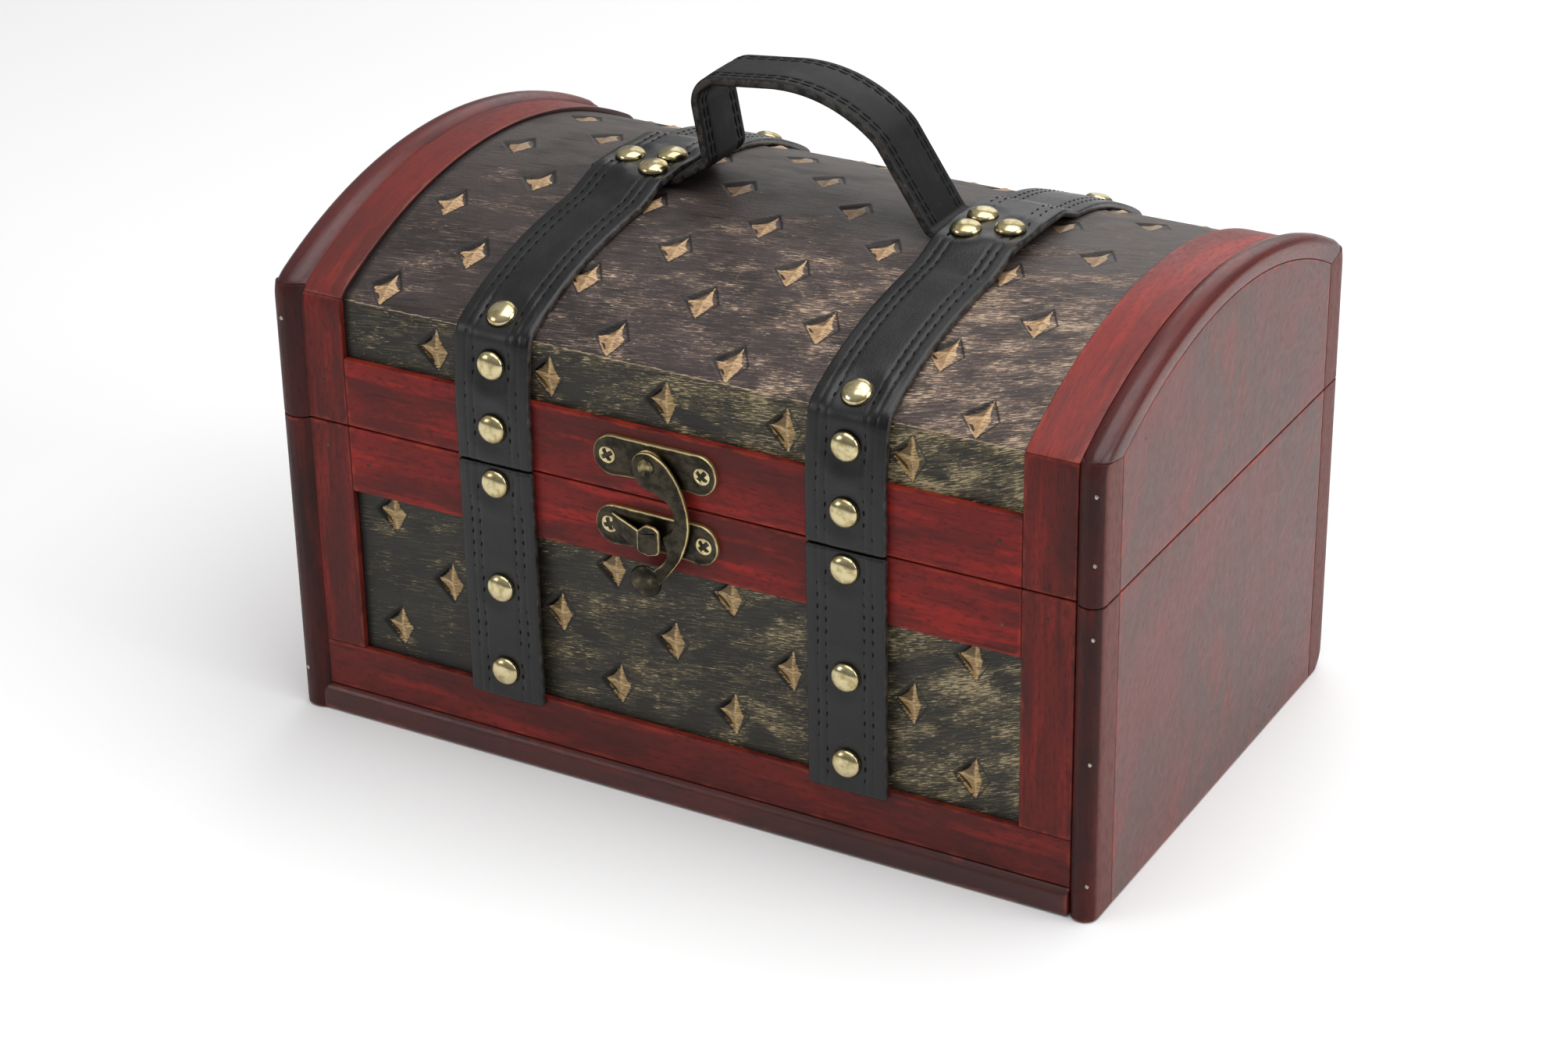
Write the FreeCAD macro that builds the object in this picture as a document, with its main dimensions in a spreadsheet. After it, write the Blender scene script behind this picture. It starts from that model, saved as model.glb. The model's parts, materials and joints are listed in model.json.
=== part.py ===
import FreeCAD, Part
import math
import os
import re
import Sketcher
from FreeCAD import Vector

# A wooden treasure chest with an arched lid, leather straps and a swing-hook latch.
# Frame: origin on the floor under the middle of the chest, +X to the right seen from the
# front, +Y to the back, +Z up. Millimetres.

# Driving sizes: name, value, what it is
SIZES = [
    ("width", 300.0, "across the outer faces of the two ends"),
    ("depth", 190.0, "across the rounded edges of the ends"),
    ("seam_height", 110.0, "floor to the middle of the seam between base and lid"),
    ("lid_wall", 47.5, "middle of the seam to where the arch of an end starts"),
    ("arch_rise", 27.5, "rise of an end's arch above its shoulders"),
    ("seam_gap", 0.5, "gap between the base and the closed lid"),
    ("end_thick", 9.0, "thickness of the end panels and their edging"),
    ("edge_width", 14.0, "width of the upright edging strips"),
    ("arch_edge_width", 9.0, "width of the arched edging strips"),
    ("edge_round", 4.2, "rounding of the edging strips' outer edges"),
    ("foot_round", 8.0, "rounding of the ends' lower back corners"),
    ("board_thick", 6.0, "front and back boards"),
    ("bottom_thick", 6.0, "bottom board"),
    ("vault_thick", 5.0, "curved board on top of the lid"),
    ("cover_thick", 0.8, "embossed covering glued to the boards"),
    ("trim_thick", 2.4, "stiles, rails and arch strips"),
    ("edge_proud", 2.6, "edging strips stand this far in front of the trim"),
    ("arch_proud", 3.0, "arched edging stands this far above the arch strips"),
    ("stile_width", 18.0, "stiles and arch strips"),
    ("lid_rail_height", 24.0, "lid rails, front and back"),
    ("base_rail_height", 23.5, "upper base rails, front and back"),
    ("foot_rail_height", 17.0, "lower base rails"),
    ("moulding_height", 9.5, "foot mouldings"),
    ("moulding_proud", 1.8, "foot mouldings stand this far in front of the trim"),
    ("moulding_round", 3.5, "rounded upper edge of the foot mouldings"),
    ("strap_width", 28.0, "leather straps"),
    ("strap_thick", 2.6, "leather straps"),
    ("strap_spread", 128.0, "between the middles of the two straps"),
    ("strap_lap", 2.5, "base straps lap this far over the lower rail"),
    ("crown_flat", 18.0, "half length of the strap's raised crown over the handle's end"),
    ("crown_ramp", 12.0, "length of the ramp up to that crown"),
    ("crown_room", 0.5, "room between the strap's crown and the handle's end"),
    ("stud_diameter", 10.5, "domed nail heads"),
    ("stud_height", 3.2, "domed nail heads"),
    ("nail_diameter", 1.6, "shanks of the domed nails"),
    ("nail_length", 8.0, "shanks of the domed nails"),
    ("stud_seam_drop", 6.5, "seam to the upper base stud"),
    ("stud_middle_height", 65.5, "floor to the middle base stud"),
    ("stud_foot_rise", 10.5, "lower end of a base strap to its lowest stud"),
    ("stud_lid_rise", 13.0, "seam to the lower lid stud"),
    ("stud_crease_drop", 10.0, "crease of the lid to the upper lid stud"),
    ("stud_crease_run", 6.6, "crease of the lid to the first stud on the arch"),
    ("triad_run", 6.0, "crown to the middle of the three studs, towards the front"),
    ("triad_pitch", 5.8, "half the distance between the paired studs"),
    ("triad_offset", 6.2, "strap's middle line to the paired studs, and to the single one"),
    ("handle_width", 25.0, "leather handle"),
    ("handle_thick", 3.0, "leather handle"),
    ("handle_tab_inset", 2.0, "handle's ends stop this far inside the straps' outer edges"),
    ("handle_fold_run", 20.0, "left strap's edge to the handle's lower fold"),
    ("handle_fold_lift", 9.5, "lower fold above the lid"),
    ("handle_lean", 6.8, "upper fold leans out past the lower one"),
    ("handle_left_rise", 38.2, "upper fold above the lid"),
    ("handle_rise", 42.2, "crest of the handle above the lid"),
    ("handle_crest", 4.0, "crest of the handle, right of the middle"),
    ("handle_slope_run", 16.0, "handle's slope starts this far inside the right strap's edge"),
    ("handle_slope_rise", 28.0, "start of that slope above the lid"),
    ("handle_root_run", 2.7, "foot of that slope, inside the right strap's edge"),
    ("latch_shift", 4.2, "middle of the latch, left of the middle of the chest"),
    ("latch_rise", 13.0, "seam to the middle line of the latch plate"),
    ("catch_drop", 11.4, "seam to the middle line of the catch plate"),
    ("plate_length", 45.0, "latch and catch plates"),
    ("plate_height", 14.0, "latch and catch plates"),
    ("plate_thick", 1.0, "latch and catch plates"),
    ("plate_waist", 2.4, "hollow in the plates' lower edge"),
    ("plate_hole_inset", 5.2, "screws of a plate, in from its ends"),
    ("screw_head", 6.2, "diameter of the screw heads"),
    ("screw_head_height", 1.1, "height of the screw heads"),
    ("screw_shank", 2.8, "diameter of the screw shanks"),
    ("screw_length", 8.5, "length of the screw shanks"),
    ("screw_room", 0.3, "room round a screw in its plate"),
    ("pivot_shift", 1.6, "hook's pivot, left of the middle of the latch plate"),
    ("rivet_diameter", 4.0, "shank of the hook's rivet"),
    ("rivet_head", 5.8, "head of the hook's rivet"),
    ("rivet_head_height", 0.9, "head of the hook's rivet"),
    ("running_room", 0.08, "room between turning faces"),
    ("hook_standoff", 1.5, "collar that lifts the hook clear of the screws"),
    ("hook_thick", 1.4, "swing hook"),
    ("hook_eye", 10.2, "diameter of the hook's eye"),
    ("hook_drop", 34.5, "pivot to the lower end of the hook's blade"),
    ("tail_diameter", 9.0, "finger tail at the end of the hook"),
    ("tail_room", 0.7, "the tail passes this far in front of the catch's tongue"),
    ("tongue_thick", 1.0, "tongue of the catch plate"),
    ("tongue_proud", 4.2, "tongue's face in front of the catch plate"),
    ("tongue_room", 0.6, "gap between the tongue's tip and the hook's tooth"),
    ("tongue_height", 9.5, "tongue of the catch plate, top to bottom"),
    ("tongue_rise", 3.0, "top of the tongue above the hook's tooth"),
    ("hinge_gap", 3.0, "outer edge of a strap to the hinge beside it"),
    ("hinge_width", 20.0, "length of a hinge along its pin"),
    ("leaf_height", 14.0, "height of a hinge leaf"),
    ("leaf_thick", 1.2, "thickness of a hinge leaf"),
    ("barrel_diameter", 4.8, "hinge knuckles"),
    ("pin_diameter", 2.4, "hinge pins"),
    ("knuckle_gap", 0.4, "gap between neighbouring knuckles"),
    ("hinge_screw_inset", 5.0, "hinge screws, in from the leaf's ends"),
]

# Sizes that follow from the driving ones
DERIVED = [
    ("inner_x", "width / 2 - end_thick"),
    ("panel_y", "depth / 2 - edge_width"),
    ("trim_face", "depth / 2 - edge_proud"),
    ("cover_face", "trim_face - trim_thick"),
    ("board_face", "cover_face - cover_thick"),
    ("board_back", "board_face - board_thick"),
    ("moulding_face", "trim_face + moulding_proud"),
    ("shoulder_height", "seam_height + lid_wall"),
    ("base_top", "seam_height - seam_gap / 2"),
    ("lid_bottom", "seam_height + seam_gap / 2"),
    ("lid_rail_top", "lid_bottom + lid_rail_height"),
    ("base_rail_bottom", "base_top - base_rail_height"),
    ("foot_rail_top", "moulding_height + foot_rail_height"),
    ("arch_radius", "((depth / 2)^2 + arch_rise^2) / (2 * arch_rise)"),
    ("arch_centre", "shoulder_height + arch_rise - arch_radius"),
    ("arch_inner", "arch_radius - arch_edge_width"),
    ("strip_radius", "arch_radius - arch_proud"),
    ("cover_radius", "strip_radius - trim_thick"),
    ("vault_radius", "cover_radius - cover_thick"),
    ("vault_inner", "vault_radius - vault_thick"),
    ("strap_middle", "strap_spread / 2"),
    ("strap_edge", "strap_middle - strap_width / 2"),
    ("strap_face", "trim_face + strap_thick"),
    ("strap_foot", "foot_rail_top - strap_lap"),
    ("strap_crease", "cover_face + strap_thick"),
    ("strap_radius", "cover_radius + strap_thick"),
    ("crown_inner", "cover_radius + handle_thick + crown_room"),
    ("crown_radius", "crown_inner + strap_thick"),
    ("crown_end", "crown_flat + crown_ramp"),
    ("tab_z", "arch_centre + cover_radius + handle_thick / 2"),
    ("latch_z", "seam_height + latch_rise"),
    ("catch_z", "seam_height - catch_drop"),
    ("hole_reach", "plate_length / 2 - plate_hole_inset"),
    ("pivot_x", "-latch_shift - pivot_shift"),
    ("plate_face", "trim_face + plate_thick"),
    ("hook_back", "plate_face + hook_standoff"),
    ("hook_face", "hook_back + hook_thick"),
    ("tongue_face", "plate_face + tongue_proud"),
    ("tail_back", "tongue_face + tail_room"),
    ("tail_face", "tail_back + hook_thick"),
    ("hinge_middle", "strap_middle + (strap_width + hinge_width) / 2 + hinge_gap"),
    ("hinge_y", "trim_face + leaf_thick + barrel_diameter / 2"),
    ("bore_diameter", "pin_diameter + 2 * running_room"),
]

# Outline of the hook's blade from its pivot, in shares of hook_drop: right, up, and for a
# round stretch to the next point its radius and the side of its centre (1 left, -1 right)
HOOK_BLADE = [
    (0.042, 0.142, 0.722, -1),
    (0.217, -1.000, None, 0),
    (0.145, -0.960, None, 0),
    (0.183, -0.791, None, 0),
    (0.139, -0.700, None, 0),
    (0.215, -0.655, 0.305, 1),
    (0.235, -0.340, 0.125, 1),
    (0.136, -0.267, None, 0),
    (-0.020, -0.223, 0.210, -1),
]
HOOK_TOOTH = HOOK_BLADE[4]
HOOK_FOOT = (HOOK_BLADE[2], HOOK_BLADE[1])
# Bend radius at each inner point of the handle's middle line, in thicknesses of the handle
HANDLE_BENDS = [4.0, 1.0, 2.0, 20.0, 9.0, 1.2]
# Two measures closer than this count as equal
TOLERANCE = 0.01

doc = FreeCAD.newDocument("treasure_chest")
sheet = doc.addObject("Spreadsheet::Sheet", "sizes")
NAMES = {entry[0] for entry in SIZES + DERIVED}
pieces = []


def bind(formula):
    """The formula with every size name pointed at the sheet."""
    return re.sub(r"[a-z_]+", lambda word: "sizes." * (word.group() in NAMES) + word.group(), formula)


def fill_sheet():
    """Name in column A, number or formula in B under its alias, meaning in C."""
    for row, (name, number, meaning) in enumerate(SIZES, start=1):
        sheet.set("A%d" % row, name)
        sheet.set("B%d" % row, str(number))
        sheet.set("C%d" % row, meaning)
        sheet.setAlias("B%d" % row, name)
    for row, (name, formula) in enumerate(DERIVED, start=len(SIZES) + 1):
        sheet.set("A%d" % row, name)
        sheet.set("B%d" % row, "=" + formula)
        sheet.setAlias("B%d" % row, name)
    doc.recompute()


def number(formula):
    """What a formula comes to with the sheet's sizes."""
    return float(sheet.evalExpression(bind(formula)))


def keep(piece, label):
    """Names a finished sub-part and puts it on the list of those that are written."""
    piece.Label = label
    pieces.append((label, piece))
    return piece


def arch_z(radius, y):
    """Height, as a formula, of a lid arc of this radius at distance y from the middle."""
    return f"arch_centre + sqrt(({radius})^2 - ({y})^2)"


def board(name, x, y, z):
    """A plain board; x, y and z are pairs of formulas, low and high."""
    piece = doc.addObject("Part::Box", name)
    for side, axis, (low, high) in zip(("Length", "Width", "Height"), "xyz", (x, y, z)):
        piece.setExpression(side, bind(f"({high}) - ({low})"))
        piece.setExpression("Placement.Base." + axis, bind(low))
    return piece


def rod(name, start, axis, radius, length):
    """A round bar from a start point to the right ("x") or to the front ("front")."""
    turn = {"x": "rotation(vector(0; 1; 0); 90)", "front": "rotation(vector(1; 0; 0); 90)"}[axis]
    piece = doc.addObject("Part::Cylinder", name)
    piece.setExpression("Radius", bind(radius))
    piece.setExpression("Height", bind(length))
    spot = "; ".join(start)
    piece.setExpression("Placement", bind(f"placement(vector({spot}); {turn})"))
    return piece


def dome(name, start, tilt, diameter, height):
    """A flat-based dome whose axis leans from straight up towards the front by tilt."""
    radius = f"((({diameter}) / 2)^2 + ({height})^2) / (2 * ({height}))"
    sink = f"({radius} - ({height}))"
    x, y, z = start
    spot = f"vector({x}; {y} + {sink} * sin({tilt}); {z} - {sink} * cos({tilt}))"
    piece = doc.addObject("Part::Sphere", name)
    piece.setExpression("Radius", bind(radius))
    piece.setExpression("Angle1", bind(f"asin({sink} / ({radius}))"))
    piece.setExpression("Placement", bind(f"placement({spot}; rotation(vector(1; 0; 0); {tilt}))"))
    return piece


def shank(name, start, tilt, diameter, length):
    """A nail or screw shank that goes down from a dome's base."""
    x, y, z = start
    spot = f"vector({x}; {y} + ({length}) * sin({tilt}); {z} - ({length}) * cos({tilt}))"
    piece = doc.addObject("Part::Cylinder", name)
    piece.setExpression("Radius", bind(f"({diameter}) / 2"))
    piece.setExpression("Height", bind(length))
    piece.setExpression("Placement", bind(f"placement({spot}; rotation(vector(1; 0; 0); {tilt}))"))
    return piece


def fuse(name, parts):
    """Several solids joined into one."""
    piece = doc.addObject("Part::MultiFuse", name)
    piece.Shapes = parts
    return piece


def cut(name, base, tool):
    """One solid with another taken out of it."""
    piece = doc.addObject("Part::Cut", name)
    piece.Base = base
    piece.Tool = tool
    return piece


def group(name, parts):
    """A set of equal fasteners, kept as separate solids in one sub-part."""
    piece = doc.addObject("Part::Compound", name)
    piece.Links = parts
    return piece


def arc_centre(start, end, radius, side):
    """Centre of a round stretch, left (1) or right (-1) of the way from start to end."""
    chord = end - start
    half = chord.Length / 2
    rise = math.sqrt(max(radius * radius - half * half, 0.0))
    left = Vector(-chord.y, chord.x, 0) / chord.Length
    return (start + end) / 2 + left * (side * rise)


def outline(sketch, points, holes=()):
    """Draws a closed outline in a sketch and binds each point, radius and hole to the sheet.

    A point is (u, v) or (u, v, radius, side), where the last two make the stretch to the
    next point round. A hole is (u, v, radius), and with no points it is a disc."""
    spots = [Vector(number(point[0]), number(point[1]), 0) for point in points]
    starts, ends = [], []
    for index, point in enumerate(points):
        start, end = spots[index], spots[(index + 1) % len(points)]
        if len(point) == 2:
            edge = sketch.addGeometry(Part.LineSegment(start, end), False)
            starts.append((edge, 1))
            ends.append((edge, 2))
            continue
        radius, side = number(point[2]), point[3]
        centre = arc_centre(start, end, radius, side)
        first, last = (start, end) if side > 0 else (end, start)
        from_angle = math.atan2(first.y - centre.y, first.x - centre.x)
        to_angle = math.atan2(last.y - centre.y, last.x - centre.x)
        circle = Part.Circle(centre, Vector(0, 0, 1), radius)
        edge = sketch.addGeometry(Part.ArcOfCircle(circle, from_angle, to_angle), False)
        starts.append((edge, 1 if side > 0 else 2))
        ends.append((edge, 2 if side > 0 else 1))
        rule = sketch.addConstraint(Sketcher.Constraint("Radius", edge, radius))
        sketch.setExpression(f"Constraints[{rule}]", bind(point[2]))
    for index in range(len(points)):
        following = starts[(index + 1) % len(points)]
        sketch.addConstraint(Sketcher.Constraint("Coincident", *ends[index], *following))
    for point, spot, corner in zip(points, spots, starts):
        pin_point(sketch, corner, spot, point)
    for u, v, radius in holes:
        spot = Vector(number(u), number(v), 0)
        edge = sketch.addGeometry(Part.Circle(spot, Vector(0, 0, 1), number(radius)), False)
        rule = sketch.addConstraint(Sketcher.Constraint("Radius", edge, number(radius)))
        sketch.setExpression(f"Constraints[{rule}]", bind(radius))
        pin_point(sketch, (edge, 3), spot, (u, v))


def pin_point(sketch, corner, spot, formulas):
    """Holds one point of a sketch at the place its two formulas give."""
    for kind, place, formula in zip(("DistanceX", "DistanceY"), (spot.x, spot.y), formulas):
        rule = sketch.addConstraint(Sketcher.Constraint(kind, *corner, place))
        sketch.setExpression(f"Constraints[{rule}]", bind(formula))


def pad(body, name, plane, points, low, high, holes=()):
    """An outline on one of the body's own planes, padded along its normal from low to high.

    YZ_Plane has u along Y, v up and its normal to the right; XZ_Plane has u along X, v up and
    its normal to the front; XY_Plane has its normal up."""
    origin_plane = [item for item in body.Origin.OriginFeatures if item.Role == plane][0]
    sketch = body.newObject("Sketcher::SketchObject", name + "_outline")
    sketch.AttachmentSupport = [(origin_plane, "")]
    sketch.MapMode = "FlatFace"
    sketch.setExpression("AttachmentOffset.Base.z", bind(low))
    outline(sketch, points, holes)
    feature = body.newObject("PartDesign::Pad", name + "_pad")
    feature.Profile = sketch
    feature.setExpression("Length", bind(f"({high}) - ({low})"))
    doc.recompute()
    return feature


def prism(name, plane, points, low, high, holes=()):
    """A body made of one padded outline."""
    body = doc.addObject("PartDesign::Body", name)
    pad(body, name, plane, points, low, high, holes)
    return body


def round_over(body, chosen, radius):
    """Rounds the edges of a body's last feature that the test picks."""
    base = body.Tip
    names = ["Edge%d" % place for place, edge in enumerate(base.Shape.Edges, start=1) if chosen(edge)]
    feature = body.newObject("PartDesign::Fillet", body.Name + "_round")
    feature.Base = (base, names)
    feature.setExpression("Radius", bind(radius))
    doc.recompute()


def along_end(edge):
    """True for an edge that runs along an end's outline, not across its thickness."""
    low, high = edge.BoundBox.XMin, edge.BoundBox.XMax
    return high - low < TOLERANCE


def end_span(side):
    """Low and high X of an end panel and its edging."""
    return ("-width / 2", "-inner_x") if side == "left" else ("inner_x", "width / 2")


def facing(face, low, high):
    """Low and high Y of a layer on the front or back, from its two distances to the middle."""
    return (f"-({high})", f"-({low})") if face == "front" else (low, high)


def base_box():
    """The plain wooden box: bottom, front, back and the two flat end panels."""
    across = ("-inner_x", "inner_x")
    keep(board("bottom_board", across, ("-board_back", "board_back"), ("0", "bottom_thick")), "bottom_board")
    for face in ("front", "back"):
        wall = board(f"base_{face}_wall", across, facing(face, "board_back", "board_face"), ("0", "base_top"))
        keep(wall, f"base_{face}_board")
        skin = board(f"base_{face}_skin", across, facing(face, "board_face", "cover_face"), ("0", "base_top"))
        keep(skin, f"base_{face}_cover")
    for side in ("left", "right"):
        end = board(f"base_{side}_panel", end_span(side), ("-panel_y", "panel_y"), ("0", "base_top"))
        keep(end, f"base_{side}_end")


def base_edging():
    """Upright strips with a bullnose, which close the ends at the front and back."""
    for side in ("left", "right"):
        front = [("-depth / 2", "0"), ("-panel_y", "0"), ("-panel_y", "base_top"), ("-depth / 2", "base_top")]
        strip = prism(f"base_{side}_edge_front", "YZ_Plane", front, *end_span(side))
        reach = number("depth / 2") - TOLERANCE
        round_over(strip, lambda edge: along_end(edge) and edge.BoundBox.YMax < -reach, "edge_round")
        keep(strip, f"base_front_{side}_edging")
        back = [("panel_y", "0"), ("depth / 2 - foot_round", "0", "foot_round", 1),
                ("depth / 2", "foot_round"), ("depth / 2", "base_top"), ("panel_y", "base_top")]
        strip = prism(f"base_{side}_edge_back", "YZ_Plane", back, *end_span(side))
        corner = number("depth / 2 - foot_round") - TOLERANCE

        def outer(edge):
            """The upright and the rounded corner under it."""
            return along_end(edge) and edge.BoundBox.YMin > corner and edge.BoundBox.YMax > reach
        round_over(strip, outer, "edge_round")
        keep(strip, f"base_back_{side}_edging")


def base_trim():
    """Stiles, rails and foot mouldings on the front and back of the base."""
    between = ("-inner_x + stile_width", "inner_x - stile_width")
    across = ("-inner_x", "inner_x")
    for face in ("front", "back"):
        layer = facing(face, "cover_face", "trim_face")
        stile_z = ("foot_rail_top", "base_top")
        left = board(f"base_{face}_stile_l", ("-inner_x", between[0]), layer, stile_z)
        right = board(f"base_{face}_stile_r", (between[1], "inner_x"), layer, stile_z)
        if face == "front":
            keep(left, "base_front_left_stile")
            keep(right, "base_front_right_stile")
        else:
            keep(group("base_back_stile_pair", [left, right]), "base_back_stiles")
        upper = board(f"base_{face}_rail_upper", between, layer, ("base_rail_bottom", "base_top"))
        keep(upper, f"base_{face}_rail")
        lower = board(f"base_{face}_rail_lower", across, layer, ("moulding_height", "foot_rail_top"))
        keep(lower, f"base_{face}_foot_rail")
        sign, turn = ("-", -1) if face == "front" else ("", 1)
        bead = [(f"{sign}cover_face", "0"), (f"{sign}moulding_face", "0"),
                (f"{sign}moulding_face", "moulding_height - moulding_round", "moulding_round", turn),
                (f"{sign}(moulding_face - moulding_round)", "moulding_height"),
                (f"{sign}cover_face", "moulding_height")]
        keep(prism(f"{face}_foot_bead", "YZ_Plane", bead, *across), f"{face}_foot_moulding")


def lid_box():
    """The lid's boards: front, back, the curved vault, the arched ends and the covering."""
    across = ("-inner_x", "inner_x")
    for face, sign, turn in (("front", "-", 1), ("back", "", -1)):
        wall = [(f"{sign}board_back", "lid_bottom"), (f"{sign}board_face", "lid_bottom"),
                (f"{sign}board_face", arch_z("vault_inner", "board_face"), "vault_inner", -turn),
                (f"{sign}board_back", arch_z("vault_inner", "board_back"))]
        keep(prism(f"lid_{face}_wall", "YZ_Plane", wall, *across), f"lid_{face}_board")
    under, over = arch_z("vault_inner", "board_face"), arch_z("vault_radius", "board_face")
    vault = [("-board_face", under, "vault_inner", -1), ("board_face", under),
             ("board_face", over, "vault_radius", 1), ("-board_face", over)]
    keep(prism("lid_vault_board", "YZ_Plane", vault, *across), "lid_vault")
    crease = arch_z("cover_radius", "cover_face")
    skin = [("-cover_face", "lid_bottom"), ("-board_face", "lid_bottom"),
            ("-board_face", over, "vault_radius", -1), ("board_face", over),
            ("board_face", "lid_bottom"), ("cover_face", "lid_bottom"),
            ("cover_face", crease, "cover_radius", 1), ("-cover_face", crease)]
    keep(prism("lid_skin", "YZ_Plane", skin, *across), "lid_cover")
    corner = arch_z("arch_inner", "panel_y")
    panel = [("-panel_y", "lid_bottom"), ("panel_y", "lid_bottom"), ("panel_y", corner, "arch_inner", 1),
             ("-panel_y", corner)]
    for side in ("left", "right"):
        keep(prism(f"lid_{side}_panel", "YZ_Plane", panel, *end_span(side)), f"lid_{side}_end")


def lid_edging():
    """Bullnosed strips on the lid's ends: two uprights and an arch, mitred at the shoulders."""
    corner = arch_z("arch_inner", "panel_y")
    reach, sweep = number("depth / 2") - TOLERANCE, number("arch_radius")
    for side in ("left", "right"):
        for face, sign in (("front", "-"), ("back", "")):
            post = [(f"{sign}depth / 2", "lid_bottom"), (f"{sign}panel_y", "lid_bottom"),
                    (f"{sign}panel_y", corner), (f"{sign}depth / 2", "shoulder_height")]
            strip = prism(f"lid_{side}_edge_{face}", "YZ_Plane", post, *end_span(side))

            def upright(edge):
                """The strip's outer edge, on the front or on the back."""
                return along_end(edge) and (edge.BoundBox.YMax < -reach or edge.BoundBox.YMin > reach)
            round_over(strip, upright, "edge_round")
            keep(strip, f"lid_{face}_{side}_edging")
        bow = [("-depth / 2", "shoulder_height"), ("-panel_y", corner, "arch_inner", -1), ("panel_y", corner),
               ("depth / 2", "shoulder_height", "arch_radius", 1)]
        strip = prism(f"lid_{side}_edge_arch", "YZ_Plane", bow, *end_span(side))

        def outer(edge):
            """The outer arc on either face of the strip."""
            round_edge = hasattr(edge.Curve, "Radius")
            return along_end(edge) and round_edge and abs(edge.Curve.Radius - sweep) < TOLERANCE
        round_over(strip, outer, "edge_round")
        keep(strip, f"lid_arch_{side}_edging")


def lid_trim():
    """Rails, stiles and arch strips on the lid."""
    between = ("-inner_x + stile_width", "inner_x - stile_width")
    inner, outer = arch_z("cover_radius", "cover_face"), arch_z("strip_radius", "trim_face")
    spans = {"left": ("-inner_x", between[0]), "right": (between[1], "inner_x")}
    for face, sign in (("front", "-"), ("back", "")):
        layer = facing(face, "cover_face", "trim_face")
        rail = board(f"lid_{face}_rail_bar", between, layer, ("lid_bottom", "lid_rail_top"))
        keep(rail, f"lid_{face}_rail")
        post = [(f"{sign}trim_face", "lid_bottom"), (f"{sign}cover_face", "lid_bottom"),
                (f"{sign}cover_face", inner), (f"{sign}trim_face", outer)]
        stiles = [prism(f"lid_{face}_stile_{side[0]}", "YZ_Plane", post, *spans[side]) for side in spans]
        if face == "front":
            keep(stiles[0], "lid_front_left_stile")
            keep(stiles[1], "lid_front_right_stile")
        else:
            keep(group("lid_back_stile_pair", stiles), "lid_back_stiles")
    bow = [("-cover_face", inner, "cover_radius", -1), ("cover_face", inner),
           ("trim_face", outer, "strip_radius", 1), ("-trim_face", outer)]
    for side, span in spans.items():
        keep(prism(f"lid_{side}_strip", "YZ_Plane", bow, *span), f"lid_arch_{side}_strip")


def strap_span(side):
    """Low and high X of a strap."""
    sign = "-" if side == "left" else ""
    return (f"{sign}strap_middle - strap_width / 2", f"{sign}strap_middle + strap_width / 2")


def straps():
    """Leather straps: over the lid in one length each, and down the front and back of the base."""
    crease_in, crease_out = arch_z("cover_radius", "cover_face"), arch_z("strap_radius", "strap_crease")
    ramp_in, ramp_out = arch_z("cover_radius", "crown_end"), arch_z("strap_radius", "crown_end")
    crown_in, crown_out = arch_z("crown_inner", "crown_flat"), arch_z("crown_radius", "crown_flat")
    under = [("-trim_face", "lid_bottom"), ("-trim_face", "lid_rail_top"),
             ("-cover_face", crease_in, "cover_radius", -1), ("-crown_end", ramp_in),
             ("-crown_flat", crown_in, "crown_inner", -1), ("crown_flat", crown_in),
             ("crown_end", ramp_in, "cover_radius", -1), ("cover_face", crease_in),
             ("trim_face", "lid_rail_top"), ("trim_face", "lid_bottom")]
    over = [("strap_face", "lid_bottom"), ("strap_face", "lid_rail_top"),
            ("strap_crease", crease_out, "strap_radius", 1), ("crown_end", ramp_out),
            ("crown_flat", crown_out, "crown_radius", 1), ("-crown_flat", crown_out),
            ("-crown_end", ramp_out, "strap_radius", 1), ("-strap_crease", crease_out),
            ("-strap_face", "lid_rail_top"), ("-strap_face", "lid_bottom")]
    for side in ("left", "right"):
        keep(prism(f"lid_{side}_band", "YZ_Plane", under + over, *strap_span(side)), f"lid_{side}_strap")
    for face in ("front", "back"):
        layer = facing(face, "trim_face", "strap_face")
        bands = [board(f"base_{face}_band_{side[0]}", strap_span(side), layer, ("strap_foot", "base_top"))
                 for side in ("left", "right")]
        if face == "front":
            keep(bands[0], "base_front_left_strap")
            keep(bands[1], "base_front_right_strap")
        else:
            keep(group("base_back_band_pair", bands), "base_back_straps")


def stud(name, start, tilt):
    """A domed upholstery nail: head on the strap, shank in the wood."""
    head = dome(name + "_head", start, tilt, "stud_diameter", "stud_height")
    nail = shank(name + "_nail", start, tilt, "nail_diameter", "nail_length")
    return fuse(name, [head, nail])


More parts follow.
